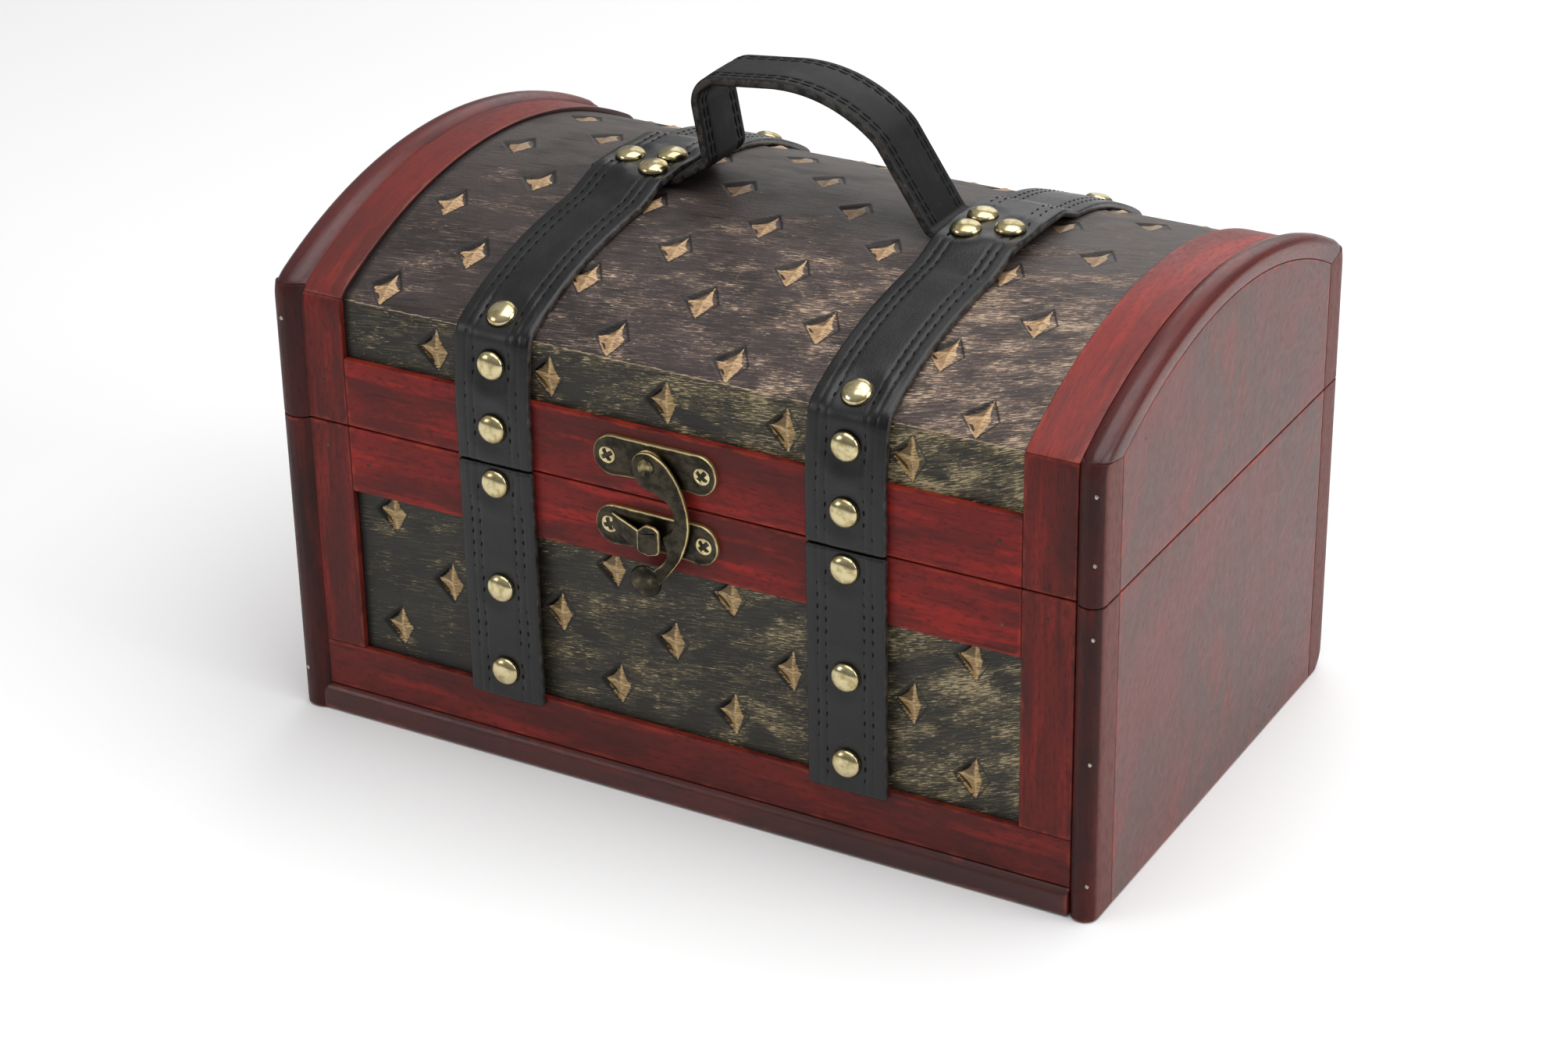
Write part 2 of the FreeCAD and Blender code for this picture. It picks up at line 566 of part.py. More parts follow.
def studs():
    """Domed nails down both straps, front and back, and three at each end of the handle."""
    lid, base = [], []
    crease = arch_z("strap_radius", "strap_crease")
    arch_y = "(strap_crease - stud_crease_run)"
    triads = [("triad_offset", "triad_run - triad_pitch"), ("triad_offset", "triad_run + triad_pitch"),
              ("-triad_offset", "triad_run")]
    for side, sign in (("left", "-"), ("right", "")):
        x = f"{sign}strap_middle"
        inward = "+" if side == "left" else "-"
        for face, way, tilt in (("front", "-", "90"), ("back", "", "-90")):
            y = f"{way}strap_face"
            heights = ["seam_height + stud_lid_rise", f"{crease} - stud_crease_drop"]
            lid += [stud(f"lid_{face}_{side}_stud_{n}", (x, y, z), tilt) for n, z in enumerate(heights)]
            heights = ["seam_height - stud_seam_drop", "stud_middle_height", "strap_foot + stud_foot_rise"]
            base += [stud(f"base_{face}_{side}_stud_{n}", (x, y, z), tilt) for n, z in enumerate(heights)]
            lean = f"{'' if face == 'front' else '-'}asin({arch_y} / strap_radius)"
            spot = (x, f"{way}{arch_y}", arch_z("strap_radius", arch_y))
            lid.append(stud(f"arch_{face}_{side}_stud", spot, lean))
        for place, (offset, run) in enumerate(triads):
            spot = (f"{x} {inward} ({offset})", f"-({run})", arch_z("crown_radius", run))
            lid.append(stud(f"crown_{side}_stud_{place}", spot, f"asin(({run}) / crown_radius)"))
    keep(group("lid_stud_set", lid), "lid_studs")
    keep(group("base_stud_set", base), "base_studs")


def ribbon(points, radii, thick):
    """Outline of a bent strip of even thickness in the XZ plane.

    The middle line runs straight between the points, with a tangent arc of its own radius at
    each inner point; the two sides follow it at half the thickness."""
    sides, tips = {1: [], -1: []}, {}
    ways = [(end - start).normalize() for start, end in zip(points, points[1:])]
    for side in (1, -1):
        lefts = [Vector(-way.z, 0, way.x) * (side * thick / 2) for way in ways]
        spot = points[0] + lefts[0]
        for corner, radius, way, following, left, turned in zip(
                points[1:-1], radii, ways, ways[1:], lefts, lefts[1:]):
            half = math.acos(max(-1.0, min(1.0, way.dot(following)))) / 2
            reach = radius * math.tan(half)
            turn = 1 if way.z * following.x - way.x * following.z < 0 else -1
            start, end = corner - way * reach + left, corner + following * reach + turned
            centre = corner - way * reach + Vector(-way.z, 0, way.x) * (turn * radius)
            outward = (corner - centre).normalize()
            middle = centre + outward * (radius - turn * side * thick / 2)
            sides[side].append(Part.LineSegment(spot, start).toShape())
            sides[side].append(Part.Arc(start, middle, end).toShape())
            spot = end
        finish = points[-1] + lefts[-1]
        sides[side].append(Part.LineSegment(spot, finish).toShape())
        tips[side] = (points[0] + lefts[0], finish)
    caps = [Part.LineSegment(tips[1][place], tips[-1][place]).toShape() for place in (0, 1)]
    return Part.Face(Part.Wire(Part.__sortEdges__(sides[1] + sides[-1] + caps)))


def handle():
    """The leather handle: its ends lie on the lid under the straps, the left one folds up."""
    lid_z = number("tab_z")
    edge, tip = number("strap_edge"), number("strap_edge + strap_width - handle_tab_inset")
    fold_x = number("handle_fold_run - strap_edge")
    points = [
        (-tip, 0.0), (number("handle_fold_run / 4 - strap_edge"), 0.0), (fold_x, number("handle_fold_lift")),
        (fold_x - number("handle_lean"), number("handle_left_rise")),
        (number("handle_crest"), number("handle_rise")),
        (edge - number("handle_slope_run"), number("handle_slope_rise")),
        (edge - number("handle_root_run"), 0.0), (tip, 0.0)]
    path = [Vector(x, 0, lid_z + z) for x, z in points]
    thick = number("handle_thick")
    face = ribbon(path, [bend * thick for bend in HANDLE_BENDS], thick)
    half = number("handle_width / 2")
    face.translate(Vector(0, -half, 0))
    strip = doc.addObject("Part::Feature", "handle_strip")
    strip.Shape = face.extrude(Vector(0, 2 * half, 0))
    keep(strip, "handle")


def plate_outline(middle_z):
    """A plate with round ends and a hollow lower edge, and its two screw holes."""
    left, right = "-latch_shift - plate_length / 2", "-latch_shift + plate_length / 2"
    half = "plate_height / 2"
    span = "(plate_length - plate_height)"
    waist = f"({span}^2 / (8 * plate_waist) + plate_waist / 2)"
    points = [(f"{left} + {half}", f"{middle_z} + {half}", half, 1), (left, middle_z, half, 1),
              (f"{left} + {half}", f"{middle_z} - {half}", waist, -1),
              (f"{right} - {half}", f"{middle_z} - {half}", half, 1), (right, middle_z, half, 1),
              (f"{right} - {half}", f"{middle_z} + {half}")]
    hole = "screw_shank / 2 + screw_room"
    holes = [(f"-latch_shift {sign} hole_reach", middle_z, hole) for sign in "-+"]
    return points, holes


def screw(name, start, tilt):
    """A round-headed wood screw."""
    head = dome(name + "_head", start, tilt, "screw_head", "screw_head_height")
    body = shank(name + "_shank", start, tilt, "screw_shank", "screw_length")
    return fuse(name, [head, body])


def blade_point(share):
    """A point of the hook, from its share of the hook's length."""
    return (f"pivot_x + {share[0]} * hook_drop", f"latch_z + {share[1]} * hook_drop")


def latch():
    """The swing-hook latch: plate, rivet and hook on the lid, catch plate on the base."""
    points, holes = plate_outline("latch_z")
    plate = prism("latch_plate_body", "XZ_Plane", points, "trim_face", "plate_face", holes)
    collar = ("pivot_x", "latch_z", "hook_eye / 2 - running_room")
    pad(plate, "latch_collar", "XZ_Plane", [], "plate_face", "hook_back - running_room", [collar])
    keep(plate, "latch_plate")

    shaft = rod("rivet_shaft", ("pivot_x", "-hook_back + running_room", "latch_z"), "front",
                "rivet_diameter / 2", "hook_thick + 2 * running_room")
    head = dome("rivet_cap", ("pivot_x", "-hook_face - running_room", "latch_z"), "90", "rivet_head",
                "rivet_head_height")
    keep(fuse("rivet", [shaft, head]), "latch_rivet")

    points, holes = plate_outline("catch_z")
    catch = prism("catch_plate_body", "XZ_Plane", points, "trim_face", "plate_face", holes)
    tip = f"pivot_x + {HOOK_TOOTH[0]} * hook_drop - tongue_room"
    root = "-latch_shift - hole_reach + screw_head / 2 + screw_room"
    knee = f"(({root}) + ({tip})) / 2"
    tongue = [(root, "-plate_face"), (knee, "-tongue_face"), (tip, "-tongue_face"),
              (tip, "-tongue_face + tongue_thick"), (knee, "-tongue_face + tongue_thick"),
              (f"{root} + 2 * tongue_thick", "-plate_face")]
    tooth_z = f"latch_z + {HOOK_TOOTH[1]} * hook_drop"
    low, high = f"{tooth_z} - tongue_height + tongue_rise", f"{tooth_z} + tongue_rise"
    pad(catch, "catch_tongue", "XY_Plane", tongue, low, high)
    keep(catch, "catch_plate")

    hook()
    for name, middle_z in (("latch", "latch_z"), ("catch", "catch_z")):
        pair = []
        for way, sign in (("l", "-"), ("r", "+")):
            x = f"-latch_shift {sign} hole_reach"
            pair.append(screw(f"{name}_screw_{way}", (x, "-plate_face", middle_z), "90"))
        keep(group(f"{name}_screw_pair", pair), f"{name}_screws")


def hook():
    """The swing hook: a flat blade round the rivet, a web and a finger tail in front of it."""
    eye = "hook_eye / 2"
    points = [(f"pivot_x - {eye}", "latch_z", eye, -1)]
    for share in HOOK_BLADE:
        corner = blade_point(share)
        bend = (f"{share[2]} * hook_drop", share[3]) if share[2] else ()
        points.append(corner + bend)
    bore = ("pivot_x", "latch_z", "rivet_diameter / 2 + running_room")
    body = prism("hook_body", "XZ_Plane", points, "hook_back", "hook_face", [bore])
    inner, outer = [blade_point(share) for share in HOOK_FOOT]
    drop = "tail_diameter / 3"
    web = [inner, (inner[0], f"{outer[1]} - {drop}"), (outer[0], f"{outer[1]} - {drop}"), outer]
    pad(body, "hook_web", "XZ_Plane", web, "hook_back", "tail_face")
    middle_x, middle_z = f"{inner[0]} - tail_diameter / 2 - tail_room", f"{outer[1]} - {drop}"
    half = "tail_diameter / 2"
    tail = [(middle_x, f"{middle_z} + {half}", half, 1), (f"{middle_x} - {half}", middle_z, half, 1),
            (middle_x, f"{middle_z} - {half}"), (outer[0], f"{outer[1]} - {drop}"), (outer[0], outer[1]),
            (inner[0], inner[1])]
    pad(body, "hook_tail", "XZ_Plane", tail, "tail_back", "tail_face")
    keep(body, "latch_hook")


def hinge_screw_spots(side, part):
    """Where the two screws of a hinge leaf stand, on its outer face."""
    middle = "-hinge_middle" if side == "left" else "hinge_middle"
    sign = "+" if part == "lid" else "-"
    z = f"seam_height {sign} (leaf_height + barrel_diameter / 2 + knuckle_gap) / 2"
    step = "(hinge_width / 2 - hinge_screw_inset)"
    return [(f"{middle} {way} {step}", "trim_face + leaf_thick", z) for way in "-+"]


def hinge_leaf(name, side, part):
    """One leaf of a butt hinge on the back rails, bored for the pin and the screws."""
    middle = "-hinge_middle" if side == "left" else "hinge_middle"
    low, high = f"{middle} - hinge_width / 2", f"{middle} + hinge_width / 2"
    third, half = "hinge_width / 3", "knuckle_gap / 2"
    room = "barrel_diameter / 2 + knuckle_gap"
    if part == "lid":
        spans = [(f"{low} + {third} + {half}", f"{high} - {third} - {half}")]
        leaf_z = (f"seam_height + {room}", "seam_height + leaf_height")
        neck_z = ("seam_height", leaf_z[0])
    else:
        spans = [(low, f"{low} + {third} - {half}"), (f"{high} - {third} + {half}", high)]
        leaf_z = ("seam_height - leaf_height", f"seam_height - ({room})")
        neck_z = (leaf_z[1], "seam_height")
    solids = [board(f"{name}_leaf", (low, high), ("trim_face", "trim_face + leaf_thick"), leaf_z)]
    for place, span in enumerate(spans):
        solids.append(board(f"{name}_neck_{place}", span, ("trim_face", "hinge_y"), neck_z))
        start, length = (span[0], "hinge_y", "seam_height"), f"({span[1]}) - ({span[0]})"
        solids.append(rod(f"{name}_knuckle_{place}", start, "x", "barrel_diameter / 2", length))
    start, length = (f"{low} - knuckle_gap", "hinge_y", "seam_height"), "hinge_width + 2 * knuckle_gap"
    tools = [rod(f"{name}_bore", start, "x", "bore_diameter / 2", length)]
    hole = "screw_shank / 2 + screw_room"
    for place, spot in enumerate(hinge_screw_spots(side, part)):
        tools.append(rod(f"{name}_hole_{place}", spot, "front", hole, "leaf_thick"))
    return cut(f"{name}_bored", fuse(f"{name}_solid", solids), fuse(f"{name}_bores", tools))


def hinges():
    """Two butt hinges on the back, their pins and screws."""
    for part in ("lid", "base"):
        leaves, screws = [], []
        for side in ("left", "right"):
            leaves.append(hinge_leaf(f"{part}_{side}_hinge", side, part))
            for place, spot in enumerate(hinge_screw_spots(side, part)):
                screws.append(screw(f"{part}_{side}_hinge_screw_{place}", spot, "-90"))
        keep(group(f"{part}_hinge_leaf_pair", leaves), f"hinge_{part}_leaves")
        keep(group(f"{part}_hinge_screw_set", screws), f"hinge_{part}_screws")
    pins = []
    for side, sign in (("left", "-"), ("right", "")):
        start = (f"{sign}hinge_middle - hinge_width / 2", "hinge_y", "seam_height")
        pins.append(rod(f"{side}_hinge_pin", start, "x", "pin_diameter / 2", "hinge_width"))
    keep(group("hinge_pin_pair", pins), "hinge_pins")


def check_all():
    """Stops if any object failed, or if a sub-part has no valid solid."""
    for item in doc.Objects:
        faults = {"Invalid", "Error"} & set(item.State)
        if faults:
            raise RuntimeError(f"{item.Name}: {faults}")
    for label, piece in pieces:
        shape = piece.Shape
        if shape.isNull() or not shape.isValid() or not shape.Solids:
            raise RuntimeError(f"{label}: no valid solid")


def write_all():
    """One STEP file for each sub-part."""
    os.makedirs("parts", exist_ok=True)
    for label, piece in pieces:
        piece.Shape.exportStep(f"parts/{label}.step")
        print(f"{label}: {len(piece.Shape.Solids)} solids, {piece.Shape.Volume / 1000:.2f} cm3")


fill_sheet()
base_box()
base_edging()
base_trim()
lid_box()
lid_edging()
lid_trim()
straps()
studs()
handle()
latch()
hinges()
doc.recompute()
check_all()
write_all()
print(len(pieces), "sub-parts")
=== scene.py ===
# %% [markdown]
# # Dressing a wooden treasure chest
#
# The chest is a small wooden box with an arched lid. Its construction is already modelled, and this
# lesson adds what the eye sees: stained wood, an embossed covering, stitched leather, brass nails and a
# blackened latch. Each piece is worked out with numpy as a surface and takes the place of the plain
# solid under it, so nothing has to be fitted by hand. All sizes are in millimetres.

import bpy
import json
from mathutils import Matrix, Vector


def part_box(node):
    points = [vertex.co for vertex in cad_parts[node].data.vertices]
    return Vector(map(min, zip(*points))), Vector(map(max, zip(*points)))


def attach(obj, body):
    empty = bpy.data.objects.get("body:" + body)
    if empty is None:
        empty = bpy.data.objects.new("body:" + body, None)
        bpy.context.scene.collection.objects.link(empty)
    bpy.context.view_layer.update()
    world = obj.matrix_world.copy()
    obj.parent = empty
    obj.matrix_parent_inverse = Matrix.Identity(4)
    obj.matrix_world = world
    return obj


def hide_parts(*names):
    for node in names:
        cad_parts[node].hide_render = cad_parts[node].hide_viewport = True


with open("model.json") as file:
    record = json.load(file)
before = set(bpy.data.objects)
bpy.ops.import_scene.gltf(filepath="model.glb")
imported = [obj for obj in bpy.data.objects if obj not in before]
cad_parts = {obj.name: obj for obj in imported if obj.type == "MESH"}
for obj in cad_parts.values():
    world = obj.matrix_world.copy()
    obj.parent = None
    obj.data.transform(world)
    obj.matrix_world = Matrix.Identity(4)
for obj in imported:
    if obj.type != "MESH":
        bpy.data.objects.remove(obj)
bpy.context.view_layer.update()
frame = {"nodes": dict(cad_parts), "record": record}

import json
import math
from collections import namedtuple

import bpy
import numpy as np
from mathutils import Matrix

MM = 0.001
record = frame["record"]
BODY_OF = {node: body for body, members in record["behaviour"]["bodies"].items() for node in members}
SLOT_OF = {entry["node"]: entry["material_slot"] for entry in record["subparts"]}

# %% [markdown]
# ## The camera
#
# The view looks down on the chest from the front right through a long lens. Its angles and distance
# were found by fitting the corners of the two ends. The three directions of the view are written out as
# vectors, because they are also the columns of the camera's matrix: right, up and back.

# %% Camera
AZIMUTH, ELEVATION, ROLL = np.radians((29.77, 26.95, -1.01))
DISTANCE, AIM_HEIGHT = 1234.1, 100.0
AIM_RIGHT, AIM_UP = 9.33, 33.22
FOCAL_PIXELS, IMAGE_WIDTH, SENSOR_WIDTH = 4721.4, 2008, 36.0
CLIP_NEAR, CLIP_FAR = 0.05, 20.0


def standing(right, up, back, spot):
    """The matrix of something at a spot: its columns are its right, its up, its back and the spot."""
    pose = np.eye(4)
    pose[:3] = np.column_stack((right, up, back, spot))
    return Matrix(pose)


back = np.array((math.sin(AZIMUTH) * math.cos(ELEVATION),
                 -math.cos(AZIMUTH) * math.cos(ELEVATION),
                 math.sin(ELEVATION)))
level = np.array((math.cos(AZIMUTH), math.sin(AZIMUTH), 0.0))
upright = np.cross(back, level)
right = math.cos(ROLL) * level + math.sin(ROLL) * upright
up = math.cos(ROLL) * upright - math.sin(ROLL) * level
eye = np.array((0.0, 0.0, AIM_HEIGHT)) - AIM_RIGHT * right - AIM_UP * up + DISTANCE * back

lens = bpy.data.cameras.new("photo_lens")
lens.sensor_width = SENSOR_WIDTH
lens.lens = FOCAL_PIXELS / IMAGE_WIDTH * SENSOR_WIDTH
lens.clip_start, lens.clip_end = CLIP_NEAR, CLIP_FAR
camera = bpy.data.objects.new("photo_camera", lens)
camera.matrix_world = standing(right, up, back, eye * MM)
bpy.context.scene.collection.objects.link(camera)
bpy.context.scene.camera = camera
print("lens", round(lens.lens, 2), "mm, eye at", np.round(eye), "mm")

# %% [markdown]
# ## Colours and nodes
#
# Colours are written as the hex values that a paint program shows. Shaders work with linear light, so
# one function turns them. A second small function adds a shader node, sets it up and links it. The
# others say what materials have in common: where a point lies, noise of a real size, one paint over
# another, and the last links from colour, gloss and relief to the shader. A material then reads as a
# list of steps.

# %% Colours and nodes


def srgb(code):
    """A hex colour as linear red, green, blue and full alpha: a straight foot, then a power of 2.4."""
    parts = np.array([int(code[place:place + 2], 16) for place in (1, 3, 5)]) / 255
    linear = np.where(parts <= 0.04045, parts / 12.92, ((parts + 0.055) / 1.055) ** 2.4)
    return (*linear, 1.0)


def add(tree, kind, inputs=None, **settings):
    """Adds a node with its settings; each input takes a plain value or another node's output."""
    made = tree.nodes.new(kind)
    for name, value in settings.items():
        setattr(made, name, value)
    for key, value in (inputs or {}).items():
        if isinstance(value, bpy.types.NodeSocket):
            tree.links.new(value, made.inputs[key])
        else:
            made.inputs[key].default_value = value
    return made


def start_material(name, **sockets):
    """A new material, its node tree and its shader with these constant sockets."""
    material = bpy.data.materials.new(name)
    material.use_nodes = True
    shader = material.node_tree.nodes["Principled BSDF"]
    for key, value in sockets.items():
        shader.inputs[key.replace("_", " ")].default_value = value
    return material, material.node_tree, shader


print("the grey of #808080 is", round(srgb("#808080")[0], 3), "in linear light")

# %% Marks, noise and layers
NOISE_LOW, NOISE_HIGH, NOISE_ROUGHNESS = 0.3, 0.7, 0.6


def read_marks(tree):
    """The marks that each point of a piece carries: its place in the grain, its distance to an edge."""
    grain = add(tree, "ShaderNodeAttribute", attribute_name="grain").outputs["Vector"]
    edge = add(tree, "ShaderNodeAttribute", attribute_name="edge").outputs["Fac"]
    return grain, edge


def read_place(tree):
    """The place on the whole chest, in millimetres, for solids that carry no marks."""
    place = add(tree, "ShaderNodeTexCoord").outputs["Object"]
    scaled = add(tree, "ShaderNodeVectorMath", {0: place, "Scale": 1 / MM}, operation="SCALE")
    return scaled.outputs["Vector"]


def patterns(tree, vector, table):
    """Noise fields by name; each row gives the size of its specks in millimetres and its detail."""
    fields = {}
    for name, size, detail in table:
        mapped = add(tree, "ShaderNodeMapping", {"Vector": vector, "Scale": [1 / side for side in size]})
        grain = add(tree, "ShaderNodeTexNoise", {"Vector": mapped.outputs["Vector"], "Scale": 1.0,
                                                 "Detail": detail, "Roughness": NOISE_ROUGHNESS})
        fields[name] = grain.outputs["Fac"]
    return fields


def layer(tree, under, over, field, low, high, share=1.0):
    """The colour over on the colour under, where the field rises from low to high, up to a share."""
    amount = add(tree, "ShaderNodeMapRange",
                 {"Value": field, "From Min": low, "From Max": high, "To Max": share},
                 interpolation_type="SMOOTHSTEP")
    mixed = add(tree, "ShaderNodeMix", {0: amount.outputs["Result"], 6: under, 7: over}, data_type="RGBA")
    return mixed.outputs[2]


def finish_surface(tree, shader, colour, gloss=None, relief=None):
    """Links a colour to the shader, and where they are given a gloss and a relief.

    gloss is a field with the roughness where it is low and where it is high. relief is a field of
    heights, the strength of its bump and its depth."""
    tree.links.new(colour, shader.inputs["Base Color"])
    if gloss:
        field, shiny, dull = gloss
        rough = add(tree, "ShaderNodeMapRange", {"Value": field, "From Min": NOISE_LOW,
                                                 "From Max": NOISE_HIGH, "To Min": shiny, "To Max": dull})
        tree.links.new(rough.outputs["Result"], shader.inputs["Roughness"])
    if relief:
        heights, strength, depth = relief
        bump = add(tree, "ShaderNodeBump", {"Height": heights, "Strength": strength,
                                            "Distance": depth * MM})
        tree.links.new(bump.outputs["Normal"], shader.inputs["Normal"])


print("gloss follows noise from", NOISE_LOW, "to", NOISE_HIGH)

# %% [markdown]
# ## Surfaces from rings
#
# Nearly every piece of the chest is a section carried along a line: a rail, a strap, a bead of wood
# round an arch. Such a piece is a stack of closed rings. The rings are one numpy array, and a single
# function joins neighbouring points into faces and closes the two ends. Each point also carries two
# marks for the materials: its place along, across and out of the piece, so that grain follows the wood,
# and its distance to the nearest edge, so that edges can be worn.

# %% Skins over rings
Skin = namedtuple("Skin", "points quads caps grain edge")
FAR_FROM_EDGE, COPY_SHIFT = 9.0, 31.0


def loft(rings, grain=None, edge=None):
    """Skin over closed rings: point j of ring i meets its neighbours in the ring and point j of ring
    i + 1. If the volume under the faces comes out negative, they are turned round to point outwards."""
    rings = np.asarray(rings, float)
    count, around = rings.shape[:2]
    index = np.arange(count * around).reshape(count, around)
    beside = np.roll(index, -1, axis=1)
    quads = np.stack((index[:-1], beside[:-1], beside[1:], index[1:]), axis=-1).reshape(-1, 4)
    caps = [index[0][::-1], index[-1]]
    points = rings.reshape(-1, 3)
    first, second, third, fourth = (points[quads[:, place]] - points.mean(axis=0) for place in range(4))
    if np.einsum("ij,ij->", first, np.cross(second, third) + np.cross(third, fourth)) < 0:
        quads, caps = quads[:, ::-1], [cap[::-1] for cap in caps]
    grain = points if grain is None else np.reshape(grain, (-1, 3))
    edge = np.full(len(points), FAR_FROM_EDGE) if edge is None else np.reshape(edge, -1)
    return Skin(points, quads, caps, grain, edge)


def joined(skins):
    """Several skins as one: the faces of each are counted on from the points before them."""
    starts = np.cumsum([0] + [len(skin.points) for skin in skins])
    quads = np.concatenate([skin.quads + start for skin, start in zip(skins, starts)])
    caps = [cap + start for skin, start in zip(skins, starts) for cap in skin.caps]
    points, grain, edge = (np.concatenate([getattr(skin, name) for skin in skins])
                           for name in ("points", "grain", "edge"))
    return Skin(points, quads, caps, grain, edge)


def scattered(skin, origins, axes):
    """Copies of a skin: each point is an origin plus its own three numbers along that copy's axes."""
    origins, axes = np.asarray(origins, float), np.asarray(axes, float)
    copies, size = len(origins), len(skin.points)
    points = origins[:, None, :] + np.einsum("pk,ckd->cpd", skin.points, axes)
    quads = (skin.quads[None] + size * np.arange(copies)[:, None, None]).reshape(-1, 4)
    caps = [cap + size * copy for copy in range(copies) for cap in skin.caps]
    grain = np.tile(skin.grain, (copies, 1)) + np.repeat(np.arange(copies), size)[:, None] * COPY_SHIFT
    return Skin(points.reshape(-1, 3), quads, caps, grain, np.tile(skin.edge, copies))


square = np.array(((0, 0), (1, 0), (1, 1), (0, 1)))
cube = loft([np.insert(square, 2, height, axis=1) for height in (0, 1)])
print("a cube from two square rings has", len(cube.quads) + len(cube.caps), "faces")

# %% Pieces
SMOOTH_ANGLE = math.radians(35)


def piece(name, skins, material, replaced=(), body=None, slot=None):
    """An object from skins; it stands for the solids it replaces and moves with their body."""
    skin = joined(skins)
    faces = skin.quads.tolist() + [cap.tolist() for cap in skin.caps]
    mesh = bpy.data.meshes.new(name)
    mesh.from_pydata((skin.points * MM).tolist(), [], faces)
    mesh.attributes.new("grain", "FLOAT_VECTOR", "POINT").data.foreach_set("vector", skin.grain.ravel())
    mesh.attributes.new("edge", "FLOAT", "POINT").data.foreach_set("value", skin.edge.ravel())
    mesh.shade_smooth()
    mesh.set_sharp_from_angle(angle=SMOOTH_ANGLE)
    mesh.materials.append(material)
    made = bpy.data.objects.new(name, mesh)
    bpy.context.scene.collection.objects.link(made)
    if replaced:
        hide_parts(*replaced)
        body, slot = BODY_OF[replaced[0]], SLOT_OF[replaced[0]]
    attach(made, body)
    return made


print("edges sharper than", round(math.degrees(SMOOTH_ANGLE)), "degrees stay sharp")

# %% [markdown]
# ### Lines with rounded corners
#
# Sections and paths are drawn as a few corner points with a radius each, the way a maker marks them on
# wood. A tangent arc then takes the place of each corner. A solid's box tells where it lies.

# %% Lines, outlines and boxes
ARC_STEPS = 5


def unit(vector):
    """The vector, one long."""
    return vector / np.linalg.norm(vector)


def unit_rows(vectors):
    """Each row of an array, one long."""
    return vectors / np.linalg.norm(vectors, axis=1)[:, None]


def straight(start, end, step):
    """Points from start towards end, without end, at most a step apart."""
    count = max(math.ceil(np.linalg.norm(end - start) / step), 1)
    return start + np.linspace(0, 1, count + 1)[:-1, None] * (end - start)


def rounded_path(points, radii, step):
    """Straight runs joined by tangent arcs: the arc at each inner point has its own radius.

    An arc's centre lies on the corner's bisector, radius / cos(half the turn) from the corner."""
    points = np.asarray(points, float)
    runs, spot = [], points[0]
    for before, corner, after, radius in zip(points, points[1:], points[2:], radii):
        way_in, way_out = unit(corner - before), unit(after - corner)
        half = math.acos(np.clip(way_in @ way_out, -1, 1)) / 2
        runs.append(straight(spot, corner - way_in * radius * math.tan(half), step))
        inward, along = unit(way_out - way_in), unit(way_in + way_out)
        centre = corner + inward * radius / math.cos(half)
        turn = np.linspace(-half, half, max(int(2 * half * radius / step), ARC_STEPS) + 1)[:-1, None]
        runs.append(centre + radius * (np.sin(turn) * along - np.cos(turn) * inward))
        spot = corner + way_out * radius * math.tan(half)
    return np.concatenate(runs + [straight(spot, points[-1], step), points[-1:]])


def outline(points, radii, step):
    """A closed outline with rounded corners, which starts in the middle of its last side."""
    points = np.asarray(points, float)
    middle = (points[0] + points[-1]) / 2
    return rounded_path(np.vstack((middle, points, middle)), radii, step)[:-1]


def corners(node):
    """Lowest and highest corner of a solid, in millimetres."""
    low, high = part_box(node)
    return np.array(low) / MM, np.array(high) / MM


print("an arc has at least", ARC_STEPS, "steps")

# %% [markdown]
# ## Sizes from the frame
#
# The boxes of a few solids give all the planes that the pieces share: the faces of the trim and of the
# covering, the seam, and the circle of the arch. Only the small things that a box can't tell are written
# as numbers.

# %% Shared planes
inner_x, panel_y = corners("base_right_end")[0][0], corners("base_right_end")[1][1]
half_width, base_top = corners("base_right_end")[1][0], corners("base_right_end")[1][2]
half_depth = -corners("base_front_right_edging")[0][1]
trim_face, cover_face = -corners("lid_front_rail")[0][1], -corners("lid_front_rail")[1][1]
lid_bottom, lid_rail_top = corners("lid_front_rail")[0][2], corners("lid_front_rail")[1][2]
base_rail_bottom, foot_rail_top = corners("base_front_rail")[0][2], corners("base_front_foot_rail")[1][2]
moulding_height = corners("front_foot_moulding")[1][2]
moulding_face = -corners("front_foot_moulding")[0][1]
stile_x = corners("lid_arch_right_strip")[0][0]
shoulder, crest = corners("lid_front_right_edging")[1][2], corners("lid_arch_right_edging")[1][2]
arch_radius = (half_depth ** 2 + (crest - shoulder) ** 2) / (2 * (crest - shoulder))
arch_z = crest - arch_radius
strip_radius = corners("lid_arch_right_strip")[1][2] - arch_z
cover_radius = corners("lid_cover")[1][2] - arch_z
ARCH_EDGE_WIDTH, MOULDING_ROUND, FOOT_ROUND = 9.0, 3.5, 8.0
arch_inner = arch_radius - ARCH_EDGE_WIDTH
SIDES, FACES = {"left": -1, "right": 1}, {"front": -1, "back": 1}


def arc_height(radius, y):
    """Height of the lid's arc of this radius at distance y from the middle."""
    return arch_z + np.sqrt(radius ** 2 - np.square(y))


print("arch radius", round(arch_radius, 2), "covering radius", round(cover_radius, 2))
print("seam from", round(base_top, 2), "to", round(lid_bottom, 2))

# %% [markdown]
# ## Stained wood
#
# The trim is softwood under a thin red stain and a satin lacquer. A stain sinks in unevenly, so the red
# is broken by brown clouds and by streaks along the grain. Handling rubs the edges to a lighter orange,
# and dirt settles in the cracks between two pieces. It could be painted on an image, but noise that is
# stretched along the grain needs none. The streaks read the place along the piece, so they turn with the
# wood, and the wear reads the distance to the edge. One function mixes all the stains of the chest.

